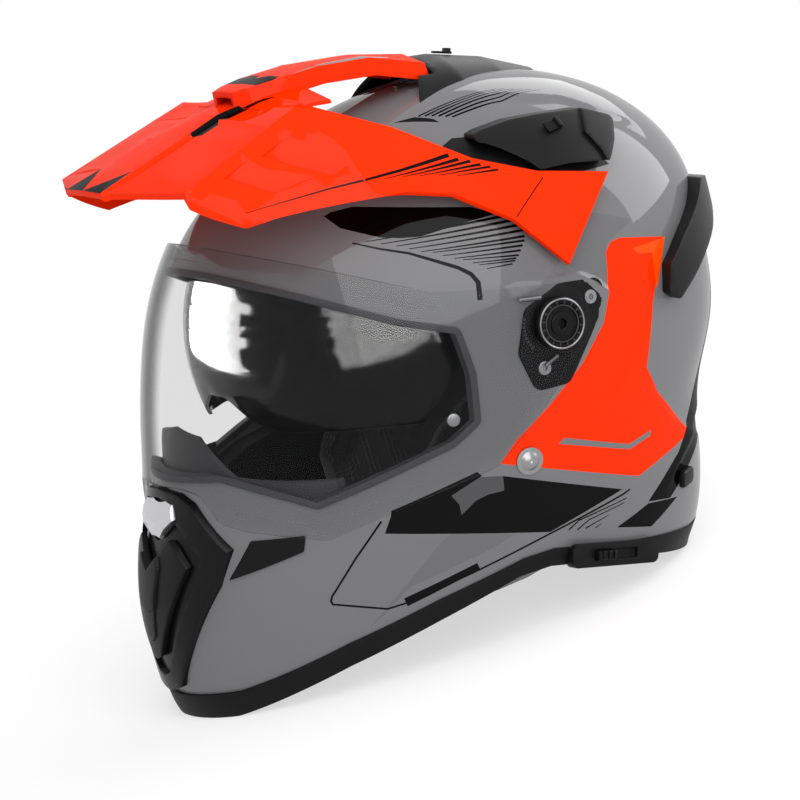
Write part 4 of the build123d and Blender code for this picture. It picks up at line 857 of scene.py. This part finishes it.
# %% Places on a cap or a plate
def top_plane(node, side):
    """Middle and outward normal of a flat piece's outer face, in metres."""
    mesh = nodes[node].data
    best = {}
    for face in mesh.polygons:
        key = tuple(round(c, 2) for c in face.normal)
        best[key] = best.get(key, 0) + face.area
    outward = [key for key in best if key[0] * side > 0.5]
    normal = Vector(max(outward, key=lambda key: best[key])).normalized()
    top = max(v.co.dot(normal) for v in mesh.vertices)
    rim = [v.co for v in mesh.vertices if v.co.dot(normal) > top - 0.0002]
    low, high = (Vector(f(c[i] for c in rim) for i in range(3)) for f in (min, max))
    middle = (low + high) / 2
    return middle + normal * (top - middle.dot(normal)), normal


def flat_frame(middle, normal):
    """Matrix from a flat drawing (x forward, y up, z out) to its place on the flank."""
    forward = Vector((0, -1, 0))
    forward = (forward - normal * forward.dot(normal)).normalized()
    upward = normal.cross(forward) * (1 if normal.x < 0 else -1)
    if upward.z < 0:
        upward = -upward
    return Matrix.Translation(middle) @ Matrix((forward, upward, normal)).transposed().to_4x4()


def settle(piece, name, matrix, material, body):
    """Moves a new piece's mesh to its place, and gives it its finish and its body."""
    piece.name = piece.data.name = name
    piece.data.transform(matrix)
    if matrix.to_3x3().determinant() < 0:
        piece.data.flip_normals()
    piece.data.materials.clear()
    piece.data.materials.append(material)
    smooth(piece, 35)
    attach(piece, body)
    return piece


def turned_copies(piece, count, step, start=0.0):
    """Copies of a piece turned about the drawing's origin, joined into one."""
    made = []
    for k in range(count):
        copy = bpy.data.objects.new(piece.name, piece.data.copy())
        bpy.context.scene.collection.objects.link(copy)
        copy.data.transform(Matrix.Rotation(start + k * step, 4, "Z"))
        made.append(copy)
    bpy.data.objects.remove(piece)
    bpy.ops.object.select_all(action="DESELECT")
    for copy in made:
        copy.select_set(True)
    bpy.context.view_layer.objects.active = made[0]
    bpy.ops.object.join()
    return bpy.context.object


def small_block(place_mm, size_mm, bevel_mm=0.1):
    """A block with broken edges, in the flat drawing."""
    bpy.ops.object.select_all(action="DESELECT")
    bpy.ops.mesh.primitive_cube_add(size=1)
    block = bpy.context.object
    block.data.transform(Matrix.Translation([c * MM for c in place_mm])
                         @ Matrix.Diagonal([c * MM for c in size_mm] + [1]))
    edge = block.modifiers.new("edge", "BEVEL")
    edge.width, edge.segments = bevel_mm * MM, 2
    finish_modifiers(block)
    return block


# %% Rings and ticks of each cap
RING_RADIUS, INNER_RING_RADIUS, TICKS = 12.9, 9.6, 16
for side_name, side in (("left", 1), ("right", -1)):
    cap_body = nodes["visor_pivot_cap_" + side_name]["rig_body"]
    middle, normal = top_plane("visor_pivot_cap_" + side_name, side)
    on_cap = flat_frame(middle, normal)
    bpy.ops.object.select_all(action="DESELECT")
    bpy.ops.mesh.primitive_torus_add(major_segments=96, minor_segments=10, major_radius=RING_RADIUS * MM,
                                     minor_radius=0.45 * MM)
    settle(bpy.context.object, "cap_ring_" + side_name, on_cap, zinc_steel, cap_body)
    bpy.ops.mesh.primitive_torus_add(major_segments=72, minor_segments=8, major_radius=INNER_RING_RADIUS * MM,
                                     minor_radius=0.3 * MM)
    settle(bpy.context.object, "cap_inner_ring_" + side_name, on_cap, grey_abs, cap_body)
    tick = small_block((11.2, 0, 0.1), (1.8, 0.55, 0.5))
    ticks = turned_copies(tick, TICKS, 2 * math.pi / TICKS)
    settle(ticks, "cap_ticks_" + side_name, on_cap, grey_abs, cap_body)

# %% Detent teeth and springs of each plate
SPRING_PITCH = 0.75
for side_name, side in (("left", 1), ("right", -1)):
    plate_body = nodes["visor_base_plate_" + side_name]["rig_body"]
    middle, normal = top_plane("visor_base_plate_" + side_name, side)
    pivot_z = PIVOT_HEIGHT * MM
    axis_x = middle.x - (normal.y * (0 - middle.y) + normal.z * (pivot_z - middle.z)) / normal.x
    on_plate = flat_frame(Vector((axis_x, 0, pivot_z)), normal)
    tooth = small_block((18.2, 0, 0.2), (1.6, 1.1, 1.0))
    teeth = turned_copies(tooth, 9, math.radians(6.4), math.radians(-28))
    settle(teeth, "detent_teeth_" + side_name, on_plate, grey_abs, plate_body)
    for name, start, length, tilt in (("upper", (5.0, 15.5), 13.0, 8.0), ("lower", (4.0, -17.0), 9.0, -24.0)):
        bpy.ops.object.select_all(action="DESELECT")
        bpy.ops.mesh.primitive_torus_add(major_segments=20, minor_segments=6, major_radius=1.1 * MM,
                                         minor_radius=0.25 * MM, rotation=(0, math.pi / 2, 0))
        bpy.ops.object.transform_apply(rotation=True)
        turn_one = bpy.context.object
        turns = turn_one.modifiers.new("turns", "ARRAY")
        turns.use_relative_offset, turns.use_constant_offset = False, True
        turns.count = int(length / SPRING_PITCH)
        turns.constant_offset_displace = (SPRING_PITCH * MM, 0.05 * MM, 0)
        finish_modifiers(turn_one)
        local = Matrix.Translation((start[0] * MM, start[1] * MM, 0.7 * MM)) @ Matrix.Rotation(
            math.radians(tilt), 4, "Z")
        settle(turn_one, "detent_spring_%s_%s" % (name, side_name), on_plate @ local, zinc_steel, plate_body)

# %% [markdown]
# ## Padding
# The crown lining, the cheek pads and the neck roll are foam in a knitted cover. Foam in a cover swells
# between its seams, so each starts as a copy of its CAD solid drawn in by a millimetre or two, remeshed
# evenly, and is blown up as cloth with a little pressure and no gravity. No point may move further than the
# room round the pad allows. The seams are pressed in afterwards.

# %% Blowing up a pad
SWELL_FRAMES = 20


def pad_start(node, name, voxel_mm, shrink_mm):
    """An evenly meshed copy of a soft CAD solid, drawn in on all sides."""
    piece = bpy.data.objects.new(name, nodes[node].data.copy())
    piece.data.name = name
    bpy.context.scene.collection.objects.link(piece)
    bm = bmesh.new()
    bm.from_mesh(piece.data)
    bmesh.ops.remove_doubles(bm, verts=bm.verts, dist=SAME_PLACE)
    bmesh.ops.recalc_face_normals(bm, faces=bm.faces)
    bm.to_mesh(piece.data)
    bm.free()
    even = piece.modifiers.new("even", "REMESH")
    even.mode, even.voxel_size = "VOXEL", voxel_mm * MM
    soften = piece.modifiers.new("soften", "SMOOTH")
    soften.factor, soften.iterations = 0.5, 3
    draw_in = piece.modifiers.new("draw_in", "DISPLACE")
    draw_in.strength, draw_in.mid_level = -shrink_mm * MM, 0.0
    finish_modifiers(piece)
    return piece


def blow_up(piece, cap_mm, pressure=4.0):
    """Cloth under pressure for a few frames, after which each point moves by cap_mm at most."""
    start = np.array([v.co for v in piece.data.vertices])
    cloth_modifier = piece.modifiers.new("swell", "CLOTH")
    settings = cloth_modifier.settings
    settings.use_pressure, settings.uniform_pressure_force = True, pressure
    settings.effector_weights.gravity = 0
    settings.quality = 4
    for number in range(1, SWELL_FRAMES + 1):
        bpy.context.scene.frame_set(number)
    finish_modifiers(piece)
    bpy.context.scene.frame_set(1)
    ended = np.array([v.co for v in piece.data.vertices])
    step = ended - start
    size = np.linalg.norm(step, axis=1)[:, None]
    step *= np.minimum(1, cap_mm * MM / np.maximum(size, 1e-9))
    piece.data.vertices.foreach_set("co", (start + step).ravel())
    piece.data.update()
    print(piece.name, "swelled by up to", round(float(size.max()) * 1000, 1), "mm")


def press_seams(piece, lines, depth_mm, width_mm, plane="YZ"):
    """Sews channels: points near a line sink in, the more the nearer they lie."""
    i, j = ("XYZ".index(c) for c in plane)
    co = np.array([v.co for v in piece.data.vertices]) / MM
    normals = np.array([v.normal for v in piece.data.vertices])
    for line in lines:
        off, _ = line_distance(line, co[:, i], co[:, j])
        fall = np.clip(1 - np.abs(off) / width_mm, 0, 1) ** 2
        co -= normals * (depth_mm * fall)[:, None]
    piece.data.vertices.foreach_set("co", (co * MM).ravel())
    piece.data.update()


def finish_pad(piece, node, material):
    """Rounds the pad, covers it, gives it the CAD node's body and hides that node."""
    rounder = piece.modifiers.new("rounder", "SUBSURF")
    rounder.levels = rounder.render_levels = 1
    finish_modifiers(piece)
    piece.data.materials.clear()
    piece.data.materials.append(material)
    bpy.ops.object.select_all(action="DESELECT")
    bpy.context.view_layer.objects.active = piece
    piece.select_set(True)
    bpy.ops.object.shade_smooth()
    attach(piece, nodes[node]["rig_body"])
    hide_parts(node)
    print(piece.name, "faces:", len(piece.data.polygons))


# %% Crown lining, cheek pads and neck roll
CROWN_SEAMS = [[(x, -70), (x, 110)] for x in (0, 32, -32)]
CHEEK_SEAMS = [[(-60, 62), (-62, 90), (-44, 108), (-18, 125), (20, 125), (34, 106)], [(-10, 40), (-16, 130)]]
lining = pad_start("comfort_liner", "crown_lining", 5.0, 1.0)
blow_up(lining, 1.5)
press_seams(lining, CROWN_SEAMS, 1.2, 4.0, "XY")
finish_pad(lining, "comfort_liner", brushed_knit)

pad_left = pad_start("cheek_pad_left", "cheek_cushion_left", 4.0, 1.5)
blow_up(pad_left, 2.5)
pad_right = bpy.data.objects.new("cheek_cushion_right", pad_left.data.copy())
bpy.context.scene.collection.objects.link(pad_right)
pad_right.data.transform(Matrix.Diagonal((-1, 1, 1, 1)))
pad_right.data.flip_normals()
for pad, node in ((pad_left, "cheek_pad_left"), (pad_right, "cheek_pad_right")):
    press_seams(pad, CHEEK_SEAMS, 1.6, 4.0)
    finish_pad(pad, node, mesh_knit)

roll = pad_start("neck_roll", "neck_cushion", 4.0, 1.5)
blow_up(roll, 2.0)
press_seams(roll, [[(70, 0), (74, 62)], [(110, 0), (110, 62)]], 1.2, 4.0)
finish_pad(roll, "neck_roll", brushed_knit)

# %% [markdown]
# ## Chin curtain and chin strap
# The curtain is one layer of knitted mesh, stretched across the gap under the chin from the rim inwards,
# so it is a curved sheet that is built one row at a time: rows of points run round the chin, and each next
# row lies further in and sags a little. The strap is flat webbing that bends only where it passes the pad's
# foot.

# %% Chin curtain
low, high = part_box("chin_curtain")
level = (low[2] + high[2]) / 2 / MM
along = float(np.interp(level / HEIGHT, LEVELS[:, 0], ALONG))
ROWS, COLUMNS = 7, 64
CURTAIN_OUTER, CURTAIN_INNER, CURTAIN_REAR = 8.0, 42.0, -134.0
# how far the middle sags, and the height of the small waves along the knit
CURTAIN_SAG, CURTAIN_WAVE, CURTAIN_WALL = 0.5, 0.35, 0.9
SWEEP_STEPS = 721
rows = []
for k in range(ROWS):
    inset = CURTAIN_OUTER + (CURTAIN_INNER - CURTAIN_OUTER) * k / (ROWS - 1)
    sweep = np.linspace(-math.pi / 2, math.pi / 2, SWEEP_STEPS)
    points = form_points(np.full(SWEEP_STEPS, along), sweep, inset)
    points = points[points[:, 1] < CURTAIN_REAR]
    pick = np.linspace(0, len(points) - 1, COLUMNS).round().astype(int)
    row = points[pick]
    sag = CURTAIN_SAG * math.sin(math.pi * k / (ROWS - 1))
    row[:, 2] = level - sag + CURTAIN_WAVE * np.sin(np.arange(COLUMNS) * 0.9)
    rows.append(row)
grid = np.array(rows)
bm = bmesh.new()
verts = [[bm.verts.new(p * MM) for p in row] for row in grid]
for k in range(ROWS - 1):
    for m in range(COLUMNS - 1):
        bm.faces.new((verts[k][m], verts[k][m + 1], verts[k + 1][m + 1], verts[k + 1][m]))
bmesh.ops.recalc_face_normals(bm, faces=bm.faces)
curtain_mesh = bpy.data.meshes.new("curtain_cloth")
curtain_area = sum(f.calc_area() for f in bm.faces)
bm.to_mesh(curtain_mesh)
bm.free()
curtain = bpy.data.objects.new("curtain_cloth", curtain_mesh)
bpy.context.scene.collection.objects.link(curtain)
wall = curtain.modifiers.new("wall", "SOLIDIFY")
wall.thickness, wall.offset = CURTAIN_WALL * MM, 0
finish_modifiers(curtain)
curtain.data.materials.append(mesh_knit)
smooth(curtain, 40)
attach(curtain, "helmet")
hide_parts("chin_curtain")

# %% Chin strap
STRAP_PATH = [(111.6, 99.9), (105.4, 68.0), (95.5, 43.9), (83.9, 27.0), (53.9, 14.9), (37.9, 14.9)]
STRAP_Y, STRAP_WIDTH, STRAP_WALL = -31.0, 22.0, 2.0
# across in half widths, through in walls: flat webbing with thinner selvedges
STRAP_SECTION = [(-1, -0.25), (-0.9, -0.5), (0.9, -0.5), (1, -0.25), (1, 0.25), (0.9, 0.5), (-0.9, 0.5),
                 (-1, 0.25)]
for side_name, side in (("left", 1), ("right", -1)):
    corner = rounded(STRAP_PATH, 14, 6)[7:-7]
    path = [Vector(STRAP_PATH[0])] + [Vector(p) for p in corner] + [Vector(STRAP_PATH[-1])]
    bm = bmesh.new()
    rings = []
    for k, here in enumerate(path):
        run = (path[min(k + 1, len(path) - 1)] - path[max(k - 1, 0)]).normalized()
        out = Vector((-run.y, run.x))
        ring = []
        for across, thick in STRAP_SECTION:
            place = here + out * thick * STRAP_WALL
            spot = Vector((place.x * side, STRAP_Y + across * STRAP_WIDTH / 2, place.y))
            ring.append(bm.verts.new(spot * MM))
        rings.append(ring)
    for one, two in zip(rings, rings[1:]):
        for m in range(len(one)):
            bm.faces.new((one[m], one[(m + 1) % len(one)], two[(m + 1) % len(one)], two[m]))
    bm.faces.new(rings[0])
    bm.faces.new(rings[-1][::-1])
    bmesh.ops.recalc_face_normals(bm, faces=bm.faces)
    mesh = bpy.data.meshes.new("strap_webbing_" + side_name)
    bm.to_mesh(mesh)
    bm.free()
    strap = bpy.data.objects.new(mesh.name, mesh)
    bpy.context.scene.collection.objects.link(strap)
    mesh.materials.append(nylon_webbing)
    smooth(strap, 40)
    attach(strap, "helmet")
    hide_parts("chin_strap_" + side_name)
    print(strap.name, "faces:", len(mesh.polygons))

# %% [markdown]
# ## Floor, walls and lamps
# The helmet stands in a white studio. Big soft boxes are what a glossy shell shows most: their straight
# edges draw the long clean highlights. The floor glows a little, all of it far out, so it turns white and
# keeps a soft shadow near the helmet. The world is white to the eye, in gloss and through clear things, and
# dim as a lamp.

# %% Floor
bpy.ops.object.select_all(action="DESELECT")
bpy.ops.mesh.primitive_plane_add(size=16, location=(0, 0, 0))
floor = bpy.context.object
floor.name = "floor"
floor_paint, tree, shader = new_material("floor_paint", base_color=linear("#FFFFFF"), roughness=0.8,
                                         specular_ior_level=0.0)
place = add_node(tree, "ShaderNodeTexCoord")
far = add_node(tree, "ShaderNodeVectorMath", {0: place.outputs["Object"]}, operation="LENGTH")
share = add_node(tree, "ShaderNodeMapRange", {"Value": far.outputs["Value"], "From Min": 0.32,
                                              "From Max": 0.75, "To Min": 0.62, "To Max": 1.0})
white = add_node(tree, "ShaderNodeEmission", {"Color": (1, 1, 1, 1), "Strength": 1.0})
blend = add_node(tree, "ShaderNodeMixShader", {0: share.outputs["Result"]})
tree.links.new(shader.outputs["BSDF"], blend.inputs[1])
tree.links.new(white.outputs["Emission"], blend.inputs[2])
tree.links.new(blend.outputs["Shader"], tree.nodes["Material Output"].inputs["Surface"])
floor.data.materials.append(floor_paint)

# %% World and soft boxes
world = bpy.data.worlds.new("studio")
bpy.context.scene.world = world
world.use_nodes = True
wtree = world.node_tree
background = wtree.nodes["Background"]
background.inputs["Color"].default_value = (1, 1, 1, 1)
ray = add_node(wtree, "ShaderNodeLightPath")
white_ray = ray.outputs["Is Camera Ray"]
for kind in ("Is Transmission Ray", "Is Glossy Ray"):
    either = add_node(wtree, "ShaderNodeMath", {0: white_ray, 1: ray.outputs[kind]}, operation="MAXIMUM")
    white_ray = either.outputs["Value"]
strength = add_node(wtree, "ShaderNodeMapRange", {"Value": white_ray, "To Min": 0.18, "To Max": 1.0})
wtree.links.new(strength.outputs["Result"], background.inputs["Strength"])


def soft_box(name, place, aim, size, power):
    """A lamp that shows in reflections and not to the camera."""
    lamp = bpy.data.lights.new(name, "AREA")
    lamp.shape, lamp.size, lamp.size_y, lamp.energy = "RECTANGLE", size[0], size[1], power
    holder = bpy.data.objects.new(name, lamp)
    bpy.context.scene.collection.objects.link(holder)
    holder.location = place
    holder.rotation_mode = "QUATERNION"
    holder.rotation_quaternion = (Vector(aim) - Vector(place)).to_track_quat("-Z", "Y")
    holder.visible_camera = False
    holder.visible_transmission = False
    print(name, "at", place, "watts", power)
    return holder


soft_box("key", (2.09, -0.37, 1.47), (0, 0, 0.15), (2.2, 3.4), 62)
soft_box("rear", (0.41, 2.31, 0.95), (0, 0.1, 0.15), (1.8, 1.6), 38)
soft_box("rear_right", (-1.2, 1.8, 1.35), (0, 0.1, 0.15), (1.4, 1.4), 16)
# these two only light: they show in no gloss
for name, place, size, power in (("overhead", (0.0, 0.3, 2.6), (2.4, 2.4), 30),
                                 ("front", (-0.75, -2.1, 0.8), (1.0, 1.4), 7)):
    soft_box(name, place, (0, 0, 0.1), size, power).visible_glossy = False
# and these two are bright boards for the smoked visor alone: nothing else is linked to them
smoked_only = bpy.data.collections.new("smoked_only")
smoked_only.objects.link(sun_visor)
for name, place, size, power in (("side_board", (1.14, -0.37, 0.36), (1.8, 1.0), 130),
                                 ("front_board", (-1.21, -0.88, 0.28), (1.3, 1.0), 150)):
    board = soft_box(name, place, (0, 0, 0.18), size, power)
    board.visible_diffuse = False
    board.light_linking.receiver_collection = smoked_only

bpy.context.scene.view_settings.view_transform = "Standard"
